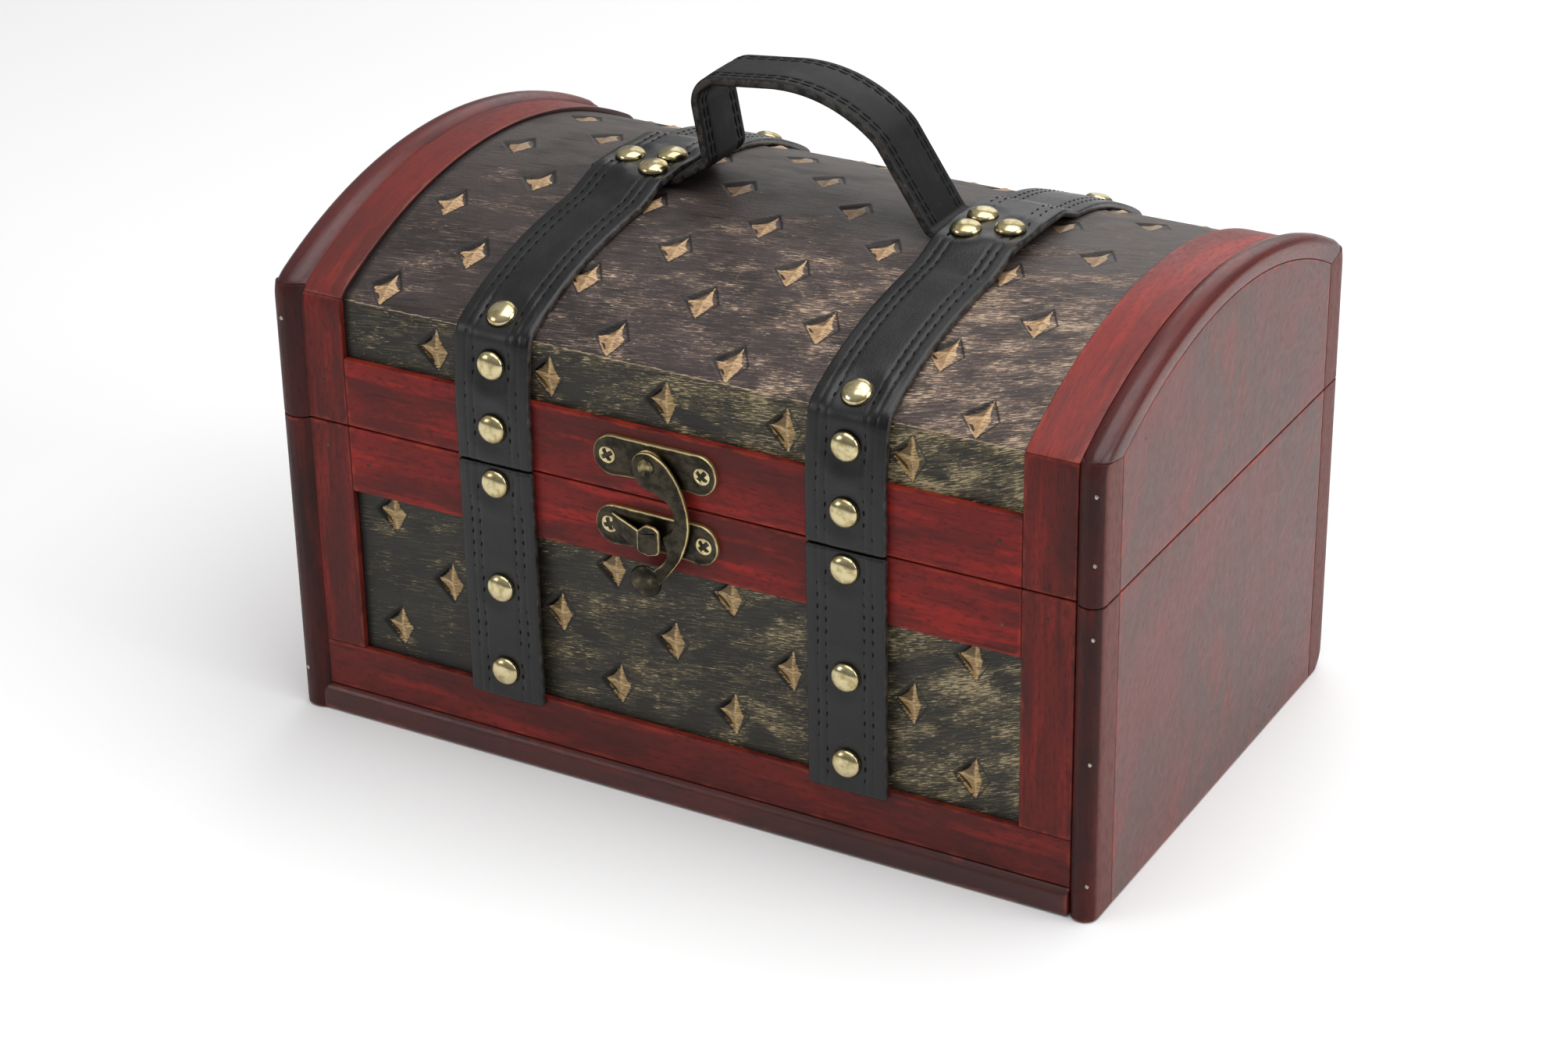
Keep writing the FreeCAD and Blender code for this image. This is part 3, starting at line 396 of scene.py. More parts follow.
# %% Stained wood
WOOD_FIELDS = (("clouds", (45.0, 14.0, 14.0), 4.0), ("flames", (60.0, 7.0, 7.0), 3.0),
               ("streaks", (26.0, 1.1, 1.1), 5.0), ("pores", (5.0, 0.5, 0.5), 2.0),
               ("chips", (9.0, 4.0, 4.0), 5.0), ("mottle", (3.0, 1.4, 1.4), 3.0))
PANEL_FIELDS = (("clouds", (75.0, 48.0, 40.0), 5.0), ("flames", (38.0, 17.0, 17.0), 5.0),
                *WOOD_FIELDS[2:])
CRACK_DIRT = srgb("#150807")
CHIP_REACH, DULLED, DARK_REACH = 6.0, 0.14, 30.0


def stained_wood(name, tones, gloss, shine, figure=1.0, side_light_and_shade=None, table=WOOD_FIELDS,
                 dark_ends=None):
    """Stained and lacquered softwood: brown clouds, brighter flames and dark streaks along the grain,
    worn edges and dirt in the cracks.

    tones are the stain, its brown clouds, its flames, its streaks and the worn edge. figure makes the
    pattern stronger or weaker. With side light and shade, faces that look along the chest take that
    colour instead: a paler one is a painted sheen, a darker one a painted shade. With dark ends, a bar
    whose grain starts in its middle darkens towards this half length."""
    material, tree, shader = start_material(name, Specular_IOR_Level=shine, Coat_Weight=0.05,
                                            Coat_Roughness=0.3)
    stain, brown, flame, streak, worn = map(srgb, tones)
    grain, edge = read_marks(tree)
    fields = patterns(tree, grain, table)
    colour = layer(tree, stain, brown, fields["clouds"], 0.36, 0.66)
    colour = layer(tree, colour, flame, fields["flames"], 0.50, 0.70, 0.7 * figure)
    colour = layer(tree, colour, brown, fields["mottle"], 0.48, 0.72, 0.6 * figure)
    colour = layer(tree, colour, streak, fields["streaks"], 0.52, 0.76, 0.5 * figure)
    colour = layer(tree, colour, streak, fields["pores"], 0.58, 0.78, 0.6 * figure)
    ragged = add(tree, "ShaderNodeMath", {0: fields["chips"], 1: -CHIP_REACH, 2: edge},
                 operation="MULTIPLY_ADD")
    colour = layer(tree, colour, worn, ragged.outputs[0], -1.9, -3.4, 0.65)
    # Faces that look along the chest take the given colour: a painted sheen on the edging and bead, a
    # painted shade on the arched strips.
    if side_light_and_shade:
        facing = add(tree, "ShaderNodeNewGeometry").outputs["Normal"]
        facing = add(tree, "ShaderNodeSeparateXYZ", {"Vector": facing}).outputs["X"]
        facing = add(tree, "ShaderNodeMath", {0: facing}, operation="ABSOLUTE").outputs[0]
        painted_side = layer(tree, srgb(side_light_and_shade), brown, fields["mottle"], 0.45, 0.8, 0.35)
        colour = layer(tree, colour, painted_side, facing, 0.88, 0.985)
    if dark_ends:
        along = add(tree, "ShaderNodeSeparateXYZ", {"Vector": grain}).outputs["X"]
        along = add(tree, "ShaderNodeMath", {0: along}, operation="ABSOLUTE").outputs[0]
        colour = layer(tree, colour, streak, along, dark_ends - DARK_REACH, dark_ends, 0.6)
    colour = layer(tree, colour, CRACK_DIRT, edge, 0.45, 0.12, 0.5)
    relief = add(tree, "ShaderNodeMath", {0: fields["pores"], 1: fields["streaks"]}, operation="ADD")
    finish_surface(tree, shader, colour, (fields["mottle"], gloss, gloss + DULLED),
                   (relief.outputs[0], 0.3, 0.2))
    return material


print(len(WOOD_FIELDS), "patterns in a stain")

# %% Stains of the trim
# Rails: a lively red with brown clouds under satin lacquer.
trim_wood = stained_wood("red_stained_softwood", ("#781b16", "#521815", "#98211a", "#320f0e", "#a43422"),
                         gloss=0.44, shine=0.2, figure=1.35)
# Stiles and foot rails: the same stain, sunk in deeper, so it looks brown and quiet.
stile_wood = stained_wood("brown_red_softwood", ("#661c17", "#4a1a16", "#7e221b", "#2f100e", "#8e3424"),
                          gloss=0.44, shine=0.2, figure=1.3)
# Arched strips: rubbed pale and smooth by hands, with sides painted dark as shade. The left one is a
# darker copy: painted shade for the dimmer light on the left.
STRIP_SIDE_SHADE = "#2a1411"
strip_woods = {
    "left": stained_wood("shaded_rubbed_softwood", ("#6e241f", "#592420", "#82291f", "#3d1612", "#864234"),
                         gloss=0.38, shine=0.3, figure=1.2, side_light_and_shade=STRIP_SIDE_SHADE),
    "right": stained_wood("rubbed_red_softwood", ("#80251f", "#682521", "#962b21", "#481713", "#984434"),
                          gloss=0.38, shine=0.3, figure=1.2, side_light_and_shade=STRIP_SIDE_SHADE)}
# Foot moulding: a glossy brown bead with a long highlight.
moulding_wood = stained_wood("lacquered_moulding",
                             ("#501b17", "#391814", "#66211b", "#26100e", "#8c3527"),
                             gloss=0.28, shine=0.4)
print("trim:", trim_wood.name, stile_wood.name, moulding_wood.name)

# %% Stains of the ends
EDGE_SIDE_SHEEN = "#643833"
# Upright edging: nearly black lacquer, with a painted sheen in the panels' colour where it faces the
# side.
edging_wood = stained_wood("dark_lacquered_edging",
                           ("#431a17", "#2e1715", "#5c1c17", "#1c0f0e", "#8a3223"),
                           gloss=0.42, shine=0.16, side_light_and_shade=EDGE_SIDE_SHEEN)
# Arched bead: thick lacquer with a clear highlight, darker towards the shoulders, and the same painted
# sheen where it faces the side.
bead_half = math.asin(half_depth / arch_radius) * arch_radius
bead_wood = stained_wood("lacquered_arch_bead", ("#5e1f1c", "#4a1c1b", "#70231d", "#2c100f", "#8c3426"),
                         gloss=0.26, shine=0.36, side_light_and_shade=EDGE_SIDE_SHEEN, dark_ends=bead_half)
# End panels: wide clouds of brushed stain under a glossy coat, which greys them in the light.
end_wood = stained_wood("brushed_end_panel", ("#683230", "#523832", "#842c28", "#42241f", "#a8301f"),
                        gloss=0.36, shine=0.43, figure=0.62, table=PANEL_FIELDS)
print("ends:", edging_wood.name, bead_wood.name, end_wood.name, "- bead", round(2 * bead_half), "mm long")

# %% Inside wood
# Plain boards with a dark stain and no lacquer: dull, with long streaks.
inside_wood, tree, shader = start_material("dark_inside_stain", Roughness=0.62)
fields = patterns(tree, read_place(tree), (("clouds", (60.0, 25.0, 25.0), 3.0),
                                           ("streaks", (70.0, 2.0, 2.0), 4.0)))
colour = layer(tree, srgb("#3a2219"), srgb("#26150f"), fields["clouds"], 0.4, 0.65)
colour = layer(tree, colour, srgb("#4d3022"), fields["streaks"], 0.52, 0.7, 0.7)
finish_surface(tree, shader, colour, relief=(fields["streaks"], 0.3, 0.3))
INSIDE = ("bottom_board", "base_front_board", "base_back_board",
          "lid_front_board", "lid_back_board", "lid_vault")


def dress(node, material):
    """Gives a solid of the frame its material."""
    solid = frame["nodes"][node]
    if not solid.material_slots:
        solid.data.materials.append(material)
    solid.material_slots[0].material = material


for node in INSIDE:
    dress(node, inside_wood)
print(len(INSIDE), "inside boards dressed")

# %% [markdown]
# ## Boards, rails and rounded edging
#
# A board is a rounded rectangle carried along its length. The same function makes a straight rail, an
# upright edging with a half-round nose, an arched strip and a panel with an arched top: it works in the
# board's own three measures, and a last step bends them into place. At both ends the rings shrink along
# a quarter circle, so no edge is razor sharp. Where two boards meet in a mitre, hands have worn the
# corner round, so there the rings stand closer together and a bar gets thinner.

# %% Boards
PLANK_ROUND, PLANK_STEP, END_RINGS = 0.4, 2.5, 4
SHOULDER_REACH, CLOSE_START, CLOSE_STEP = 6.0, 1.0, 0.8


def board(size, place, radii=(PLANK_ROUND,) * 4, shift=0.0, slant=0.0, end_round=PLANK_ROUND):
    """A rounded bar of size (length, width, thickness), bent into place.

    Rings stand along the length; near an end they shrink by r (1 - cos t) at r (1 - sin t) from it.
    place turns (along, across, out) into x, y and z. The grain may slant across the board. A mitred end
    is hardly rounded, and then it doesn't count as an edge."""
    length, width, thick = size
    section = outline([(0, 0), (width, 0), (width, thick), (0, thick)], radii, PLANK_STEP)
    turn = np.linspace(math.pi / 2, 0, END_RINGS)
    near, inset = end_round * (1 - np.sin(turn)), end_round * (1 - np.cos(turn))
    close = np.arange(CLOSE_START, SHOULDER_REACH, CLOSE_STEP)
    between = np.arange(SHOULDER_REACH, length - SHOULDER_REACH, 2 * PLANK_STEP)
    middle = np.concatenate((close, between, length - close[::-1]))
    along = np.concatenate((near, middle, length - near[::-1]))
    inset = np.concatenate((inset, np.zeros(len(middle)), inset[::-1]))[:, None]
    across = width / 2 + (section[:, 0] - width / 2) * (1 - 2 * inset / width)
    out = thick / 2 + (section[:, 1] - thick / 2) * (1 - 2 * inset / thick)
    along = along[:, None] + np.zeros_like(across)
    measures = ((along, length), (across, width), (out, thick))
    gaps = [np.minimum(measure, limit - measure) for measure, limit in measures]
    if end_round < PLANK_ROUND:
        gaps[0] = np.full_like(across, length)
    edge = np.sort(np.stack(gaps), axis=0)[1]
    grain = np.stack((along * math.cos(slant) + across * math.sin(slant) + shift,
                      across * math.cos(slant) - along * math.sin(slant) + shift, out), axis=-1)
    return loft(np.stack(place(along, across, out), axis=-1), grain, edge)


def flat_board(low, high, lengthwise, shift):
    """A straight board that fills a box, with its grain along x (0), y (1) or z (2)."""
    order = [lengthwise] + [axis for axis in range(3) if axis != lengthwise]
    span = high - low

    def place(*measures):
        """Each measure goes back to its own axis."""
        spot = dict(zip(order, measures))
        return [low[axis] + spot[axis] for axis in range(3)]
    return board([span[axis] for axis in order], place, shift=shift)


print("edges of a board are rounded by", PLANK_ROUND, "mm")

# %% Worn and arched boards


def worn_round(distance, share):
    """The share of its thickness that a bar keeps at a distance from a mitre; what is worn off falls
    as a parabola."""
    return 1 - share * np.clip(1 - distance / SHOULDER_REACH, 0, 1) ** 2


def arched_board(side, inside, width, circles, depths, drop, worn, **details):
    """A board bent over the arch, between an inner and an outer circle about the arch's centre.

    depths say how far from the middle the two circles end, so both ends are mitred. Towards the crown
    the board is planed thinner, by drop times 1 - t^2, where t is 0 at the crown and 1 at the ends."""
    inner, outer = circles
    inner_end, outer_end = (math.asin(depth / circle) for depth, circle in zip(depths, circles))
    length, thick = 2 * outer_end * outer, outer - inner

    def bend(along, across, out):
        """Along becomes an angle about the arch's centre, and out a radius."""
        turn = 2 * along / length - 1
        out = out * worn_round((1 - np.abs(turn)) * length / 2, worn)
        share = out / thick
        angle = turn * (inner_end + (outer_end - inner_end) * share)
        radius = inner + out - drop * share * (1 - turn ** 2)
        return SIDES[side] * (inside + across), radius * np.sin(angle), arch_z + radius * np.cos(angle)
    return board((length, width, thick), bend, **details)


print("a mitre is worn round within", SHOULDER_REACH, "mm")

# %% Rails, stiles and foot rails
# The left shoulders are worn most. Each board gets its own shift of the grain, so no two look alike.
TRIM_WORN, EDGING_WORN = {"left": 0.45, "right": 0.16}, 0.09
RAIL_SHIFT, BASE_STILE_SHIFT, LID_STILE_SHIFT = 53.0, 19, 29
stile_width, stile_thick = inner_x - stile_x, trim_face - cover_face


def base_stile(side, way, shift):
    """An upright board between the foot rail and the seam."""
    x = sorted(SIDES[side] * np.array((stile_x, inner_x)))
    y = sorted(way * np.array((cover_face, trim_face)))
    low, high = np.array((x[0], y[0], foot_rail_top)), np.array((x[1], y[1], base_top))
    return flat_board(low, high, 2, shift + SIDES[side] * BASE_STILE_SHIFT)


def lid_stile(side, way, shift):
    """An upright board whose top is mitred to the arched strip."""
    inner, outer = arc_height(cover_radius, cover_face), arc_height(strip_radius, trim_face)
    height = outer - lid_bottom

    def place(along, across, out):
        """Heights stretch to the mitre, which rises from the inner to the outer face."""
        out = out * worn_round(height - along, TRIM_WORN[side])
        top = inner + (outer - inner) * out / stile_thick - lid_bottom
        x, y = SIDES[side] * (stile_x + across), way * (cover_face + out)
        return x, y, lid_bottom + along * top / height
    return board((height, stile_width, stile_thick), place, shift=shift + SIDES[side] * LID_STILE_SHIFT)


shift = 0.0
for face, way in FACES.items():
    for node in (f"lid_{face}_rail", f"base_{face}_rail", f"base_{face}_foot_rail"):
        shift += RAIL_SHIFT
        stain = stile_wood if "foot" in node else trim_wood
        piece(f"{node}_wood", [flat_board(*corners(node), 0, shift)], stain, [node])
    for part, stile in (("base", base_stile), ("lid", lid_stile)):
        pair = {side: stile(side, way, shift) for side in SIDES}
        if face == "front":
            for side, skin in pair.items():
                node = f"{part}_front_{side}_stile"
                piece(f"{node}_wood", [skin], stile_wood, [node])
        else:
            node = f"{part}_back_stiles"
            piece(f"{node}_wood", [*pair.values()], stile_wood, [node])

# %% [markdown]
# The arched strips and the edging follow the arch of the ends, but not its circle: they were bent by
# hand and planed thinner towards the crown. The left edging is wider than the solid, because on the real
# chest it laps over the stiles.

# %% Arched strips along the lid's ends
STRIP_DROP, STRIP_SHIFT, STRIP_SIDE_SHIFT = 1.3, 60, 17
for side, sign in SIDES.items():
    strip = arched_board(side, stile_x, stile_width, (cover_radius, strip_radius),
                         (cover_face, trim_face), STRIP_DROP, TRIM_WORN[side],
                         shift=STRIP_SHIFT + STRIP_SIDE_SHIFT * sign)
    node = f"lid_arch_{side}_strip"
    piece(f"{node}_wood", [strip], strip_woods[side], [node])
print("an arched strip has", len(strip.quads), "faces")

# %% End panels
PANEL_SLANT, PANEL_SHIFT = math.radians(60), 40
panel_top = arch_z + arch_inner


def end_panel(part, sign):
    """A panel across one end, with its grain aslant from front to back."""
    foot, top = (0.0, base_top) if part == "base" else (lid_bottom, panel_top)

    def place(along, across, out):
        """Across is the height. On the lid, heights stretch to the arc under the arched edging."""
        y = along - panel_y
        stretch = (arc_height(arch_inner, y) - foot) / (top - foot) if part == "lid" else 1.0
        return sign * (inner_x + out), y, foot + across * stretch
    size = (2 * panel_y, top - foot, half_width - inner_x)
    return board(size, place, shift=PANEL_SHIFT * sign, slant=PANEL_SLANT)


for side, sign in SIDES.items():
    for part in ("base", "lid"):
        node = f"{part}_{side}_end"
        piece(f"{node}_wood", [end_panel(part, sign)], end_wood, [node])
print("end panels", round(2 * panel_y), "mm deep, up to", round(panel_top), "mm high")

# %% Half-round edging
LAP = 4.0
EDGE_INNER = {"left": inner_x - LAP, "right": inner_x}
MITRE_ROUND, CROWN_DROP, EDGE_ROUND, NOSE_FLAT = 0.1, 2.3, 0.5, 0.2
EDGE_SIDE_SHIFT, EDGE_FACE_SHIFT = 13, 31
edge_depth, corner_z = half_depth - panel_y, arc_height(arch_inner, panel_y)


def half_round(side):
    """Corner radii of an edging's section: hardly any at the panel, and half its width at the nose."""
    nose_round = (half_width - EDGE_INNER[side]) / 2 - NOSE_FLAT
    return EDGE_ROUND, EDGE_ROUND, nose_round, nose_round


def upright_edging(part, face, side):
    """An upright strip at a corner. The lid's is mitred and worn at the shoulder, and the base's back
    one curves in at the foot."""
    inside, way = EDGE_INNER[side], FACES[face]
    low, high = (0.0, base_top) if part == "base" else (lid_bottom, shoulder)

    def rise(along, across, out):
        """Along is the height, which stretches to the mitre, and out the depth."""
        top = np.full_like(out, high)
        if part == "lid":
            out = out * worn_round(high - low - along, EDGING_WORN)
            top = corner_z + (high - corner_z) * out / edge_depth
        z = low + along * (top - low) / (high - low)
        depth = panel_y + out
        if part == "base" and face == "back":
            drop = np.clip(FOOT_ROUND - z, 0, FOOT_ROUND)
            limit = half_depth - FOOT_ROUND + np.sqrt(FOOT_ROUND ** 2 - drop ** 2)
            depth = panel_y + out * (limit - panel_y) / edge_depth
        return SIDES[side] * (inside + across), way * depth, z
    size = (high - low, half_width - inside, edge_depth)
    shift = EDGE_SIDE_SHIFT * SIDES[side] + EDGE_FACE_SHIFT * way + low
    end_round = PLANK_ROUND if part == "base" else MITRE_ROUND
    return board(size, rise, half_round(side), shift, end_round=end_round)


for side, inside in EDGE_INNER.items():
    for face in FACES:
        for part in ("base", "lid"):
            node = f"{part}_{face}_{side}_edging"
            piece(f"{node}_wood", [upright_edging(part, face, side)], edging_wood, [node])
    strip = arched_board(side, inside, half_width - inside, (arch_inner, arch_radius),
                         (panel_y, half_depth), CROWN_DROP, EDGING_WORN, radii=half_round(side),
                         shift=-bead_half, end_round=MITRE_ROUND)
    node = f"lid_arch_{side}_edging"
    piece(f"{node}_wood", [strip], bead_wood, [node])
print("edging", {side: round(half_width - inside, 1) for side, inside in EDGE_INNER.items()}, "mm wide")

# %% Foot mouldings
MOULDING_ROUNDS, MOULDING_SHIFT = (0.3, 0.3, MOULDING_ROUND, 0.8), 90


def foot_moulding(way):
    """A bar along the foot of a face, with its upper outer corner rounded off."""

    def lie(along, across, out):
        """Along is x, across the height and out the depth."""
        return along - inner_x, way * (cover_face + out), across
    size = (2 * inner_x, moulding_height, moulding_face - cover_face)
    return board(size, lie, MOULDING_ROUNDS, shift=MOULDING_SHIFT * way)


for face, way in FACES.items():
    piece(f"{face}_foot_moulding_wood", [foot_moulding(way)], moulding_wood, [f"{face}_foot_moulding"])

# %% [markdown]
# ## The embossed covering
#
# The front, back and top are covered in a thin embossed skin. Rows of small diamonds are pressed into
# it, and in each one stands a four-pointed star with a narrow right half. Gold was then rubbed over it in
# strokes along the chest, so it stays on the stars and in broken streaks. The stars are real relief: the
# height is a formula of the place inside the nearest diamond. The sheet is one section, carried along x,
# and each face also gets that place as a UV map, which keeps the painted star sharp.

# %% Star lattice and relief
STAR_PITCH, STAR_WIDE, STAR_TALL = 43.0, 7.8, 7.5
STAR_SHARE, STAR_RIGHT, STAR_POWER = 0.95, 0.62, 0.8
STAR_LIMIT, NO_STAR = 119.0, 9.0
RECESS, STAR_RISE, LIP = 0.95, 1.25, 0.1
WALL_START, WALL_RUN, LIP_PLACE, LIP_SPREAD = 1.03, 0.16, 1.16, 0.12
SHALLOW, SLOPE_RUN = 0.3, 0.6
ROW_STEP, ARCH_ROW_START, ARCH_ROWS_COUNT, ARCH_COLUMN = 21.2, 8.2, 9, -2.0
BASE_ROWS = np.array(((38.3, 21.1), (59.5, -0.4), (80.7, 21.1)))
row_number = np.arange(ARCH_ROWS_COUNT)
ARCH_ROWS = np.column_stack((ARCH_ROW_START + ROW_STEP * row_number,
                             ARCH_COLUMN + STAR_PITCH / 2 * (row_number % 2 == 0)))
LID_ROWS = np.vstack(((-10.4, -1.0), ARCH_ROWS, (198.9, -1.0)))


def star_place(x, s, rows):
    """Place in the nearest diamond, in shares of its half width and height; each row has its height
    and a column. The stamp stops short of the stiles."""
    best = None
    for parity in (0, 1):
        mine = rows[parity::2]
        nearest = mine[np.abs(s[..., None] - mine[:, 0]).argmin(axis=-1)]
        row, start = nearest[..., 0], nearest[..., 1]
        column = start + STAR_PITCH * np.round((x - start) / STAR_PITCH)
        missing = NO_STAR * (np.abs(column) > STAR_LIMIT)
        here = np.stack(((x - column) / STAR_WIDE + missing, (s - row) / STAR_TALL), axis=-1)
        if best is None:
            best = here
        else:
            nearer = np.abs(here).sum(axis=-1) < np.abs(best).sum(axis=-1)
            best = np.where(nearer[..., None], here, best)
    return best


def star_height(here):
    """A diamond |u| / w + |v| < 1 is pressed in, deep on its left and shallow on its right; in it
    stands a pyramid, and a low lip runs round it.

    The pyramid falls evenly with q, the 1/p power of (|u| / w)^p + |v|^p, from its top to the foot near
    q = 1. The right half is narrower: w is 1 on the left and less on the right."""
    across, rise = here[..., 0], np.abs(here[..., 1])
    arm = np.abs(across) / np.where(across < 0, 1.0, STAR_RIGHT)
    rim = arm + rise
    foot = (arm ** STAR_POWER + rise ** STAR_POWER) ** (1 / STAR_POWER) / STAR_SHARE
    pressed = np.clip((WALL_START - rim) / WALL_RUN, 0, 1)
    leftness = np.clip(0.5 - across / SLOPE_RUN, SHALLOW, 1)
    deep = RECESS * pressed * pressed * (3 - 2 * pressed) * leftness
    lip = LIP * np.exp(-((rim - LIP_PLACE) / LIP_SPREAD) ** 2)
    return lip - deep + STAR_RISE * np.clip(1 - foot, 0, 1)


print("stars in", len(BASE_ROWS), "rows on the base and", len(LID_ROWS), "on the lid")

# %% The sheet and its star map
SKIN_THICK, DENSE_STEP, BACK_STEP, COLUMNS_BESIDE = 0.8, 0.05, 8, 3
FINE, COARSE, COLUMN_REACH, ROW_REACH = 0.68, 1.9, 8.2, 7.8


def fine_lines(low, high, centres, reach):
    """Grid lines that stand close together within reach of the centres, and wide apart between them."""
    dense = np.arange(low, high, DENSE_STEP)
    near = np.abs(dense[:, None] - np.asarray(centres)).min(axis=1) < reach
    steps = np.where(near, DENSE_STEP / FINE, DENSE_STEP / COARSE)
    count = np.concatenate(((0.0,), np.cumsum(steps)[:-1]))
    return np.interp(np.linspace(0, count[-1], int(count[-1]) + 1), count, dense)


def covering(s_lines, outer, normal, rows):
    """The sheet as rings along x: its outer face follows a line (y, z) with the relief on it, its inner
    face lies behind. s is the length along the line, and the relief stands out along the normal."""
    columns = rows[:, 1, None] + np.arange(-COLUMNS_BESIDE, COLUMNS_BESIDE + 1) * STAR_PITCH
    x_lines = fine_lines(-stile_x - 1, stile_x + 1, columns.ravel(), COLUMN_REACH)
    x, s = np.meshgrid(x_lines, s_lines, indexing="ij")
    height = star_height(star_place(x, s, rows))
    shell = outer[None] + height[..., None] * normal[None]
    back_line = (outer - SKIN_THICK * normal)[::-BACK_STEP]
    lining = np.broadcast_to(back_line, (len(x_lines), *back_line.shape))
    section = np.concatenate((shell, lining), axis=1)
    x_rings = np.broadcast_to(x_lines[:, None, None], (*section.shape[:2], 1))
    rings = np.concatenate((x_rings, section), axis=-1)
    s_back = np.broadcast_to(s_lines[::-BACK_STEP], (len(x_lines), len(back_line)))
    flat = (rings[..., 0], np.concatenate((s, s_back), axis=1), np.zeros(rings.shape[:2]))
    return loft(rings, np.stack(flat, axis=-1))


def paint_stars(made, rows):
    """A UV map with the place in the nearest diamond of each face, so that no face spans two diamonds."""
    mesh = made.data
    starts, totals = np.zeros((2, len(mesh.polygons)), int)
    mesh.polygons.foreach_get("loop_start", starts)
    mesh.polygons.foreach_get("loop_total", totals)
    vertex = np.zeros(len(mesh.loops), int)
    mesh.loops.foreach_get("vertex_index", vertex)
    grain = np.zeros(3 * len(mesh.vertices))
    mesh.attributes["grain"].data.foreach_get("vector", grain)
    spot = grain.reshape(-1, 3)[vertex, :2]
    face = np.repeat(np.arange(len(starts)), totals)
    middle = np.stack([np.bincount(face, spot[:, axis]) / totals for axis in (0, 1)], axis=-1)
    here = star_place(middle[:, 0], middle[:, 1], rows)
    offset = (spot - middle[face]) / (STAR_WIDE, STAR_TALL)
    mesh.uv_layers.new(name="star").data.foreach_set("uv", (here[face] + offset).ravel())


print("grid lines", FINE, "mm apart on the stars and", COARSE, "mm between them")

# %% [markdown]
# ### Rubbed gold
#
# The finish is a dark lacquered skin with gold paint wiped over it by hand. It could be scanned, but
# stretched noise gives the same look: long thin strokes along x, let through in patches. The wiping
# swings down towards the right end, so the strokes do too. How thick the gold lies is a number called
# rub: more of it on the walls of the lid, less on the crown, where a painted sheen hides the strokes,
# and little in the lee of each star, which the rag jumped over. The top's colours are painted paler and
# pinker than the walls', and the crown's ground paler still, as painted sheen. The next cells work it
# out, then lay on ground, gold and stars.

# %% Where the strokes run
SWING_SLOPE, SWING_START, SWING_BEND = 0.12, 30.0, 0.0016
# The skin: dark, slightly glossy, with fine pebbles under broken strokes of dull gold.
cover_skin, tree, shader = start_material("embossed_rubbed_skin", Specular_IOR_Level=0.34)
grain = add(tree, "ShaderNodeAttribute", attribute_name="grain").outputs["Vector"]
parts = add(tree, "ShaderNodeSeparateXYZ", {"Vector": grain})
along_chest, along_section = parts.outputs["X"], parts.outputs["Y"]
past = add(tree, "ShaderNodeMath", {0: along_chest, 1: SWING_START}, operation="SUBTRACT").outputs[0]
past = add(tree, "ShaderNodeMath", {0: past, 1: 0.0}, operation="MAXIMUM").outputs[0]
past = add(tree, "ShaderNodeMath", {0: past, 1: 2.0}, operation="POWER").outputs[0]
swing = add(tree, "ShaderNodeMath", {0: past, 1: -SWING_BEND, 2: along_section},
            operation="MULTIPLY_ADD").outputs[0]
swing = add(tree, "ShaderNodeMath", {0: along_chest, 1: -SWING_SLOPE, 2: swing},
            operation="MULTIPLY_ADD").outputs[0]
brushed = add(tree, "ShaderNodeCombineXYZ", {"X": along_chest, "Y": swing}).outputs["Vector"]
fields = patterns(tree, brushed, (("strokes", (9.0, 0.5, 1.0), 4.0), ("flecks", (3.6, 0.4, 1.0), 4.0),
                                  ("shadows", (15.0, 1.0, 1.0), 4.0), ("patches", (24.0, 10.0, 1.0), 4.0),
                                  ("clouds", (46.0, 26.0, 1.0), 3.0), ("pebbles", (0.9, 0.7, 1.0), 3.0),
                                  ("scratches", (2.6, 0.5, 1.0), 3.0)))
print("strokes in", len(fields), "patterns")

# %% How thick the gold lies
CROWN_PLACE, CROWN_FAR, CROWN_NEAR = 117.0, 62.0, 14.0
CREASE_BLEND, WALL_FOOT, WALL_FULL = 1.5, -40.0, -20.0
RUB_RIGHTWARD, CROWN_SHEEN_RUB, WALL_RUB = 0.0009, -0.2, 0.055
LEE_PLACE, LEE_SIZE = (1.15, -0.6, 0.0), (0.85, 0.7, 1.0)
LEE_BREAK, LEE_FAR, LEE_NEAR, LEE_WALL, LEE_TOP = 1.6, 1.75, 1.0, -0.22, -0.1
half_angle = math.asin(cover_face / cover_radius)
arch_length = 2 * half_angle * cover_radius
ends = [add(tree, "ShaderNodeMath", {0: along_section, 1: middle}, operation="SUBTRACT").outputs[0]
        for middle in (arch_length / 2, CROWN_PLACE)]
ends = [add(tree, "ShaderNodeMath", {0: end}, operation="ABSOLUTE").outputs[0] for end in ends]
on_top = add(tree, "ShaderNodeMapRange", {"Value": ends[0], "From Min": arch_length / 2 + CREASE_BLEND,
                                          "From Max": arch_length / 2 - CREASE_BLEND}).outputs["Result"]
crown = add(tree, "ShaderNodeMapRange", {"Value": ends[1], "From Min": CROWN_FAR,
                                         "From Max": CROWN_NEAR}).outputs["Result"]
on_wall = add(tree, "ShaderNodeMapRange", {"Value": along_section, "From Min": WALL_FOOT,
                                           "From Max": WALL_FULL, "To Max": WALL_RUB}).outputs["Result"]
rub = add(tree, "ShaderNodeMath", {0: along_chest, 1: RUB_RIGHTWARD, 2: fields["patches"]},
          operation="MULTIPLY_ADD").outputs[0]
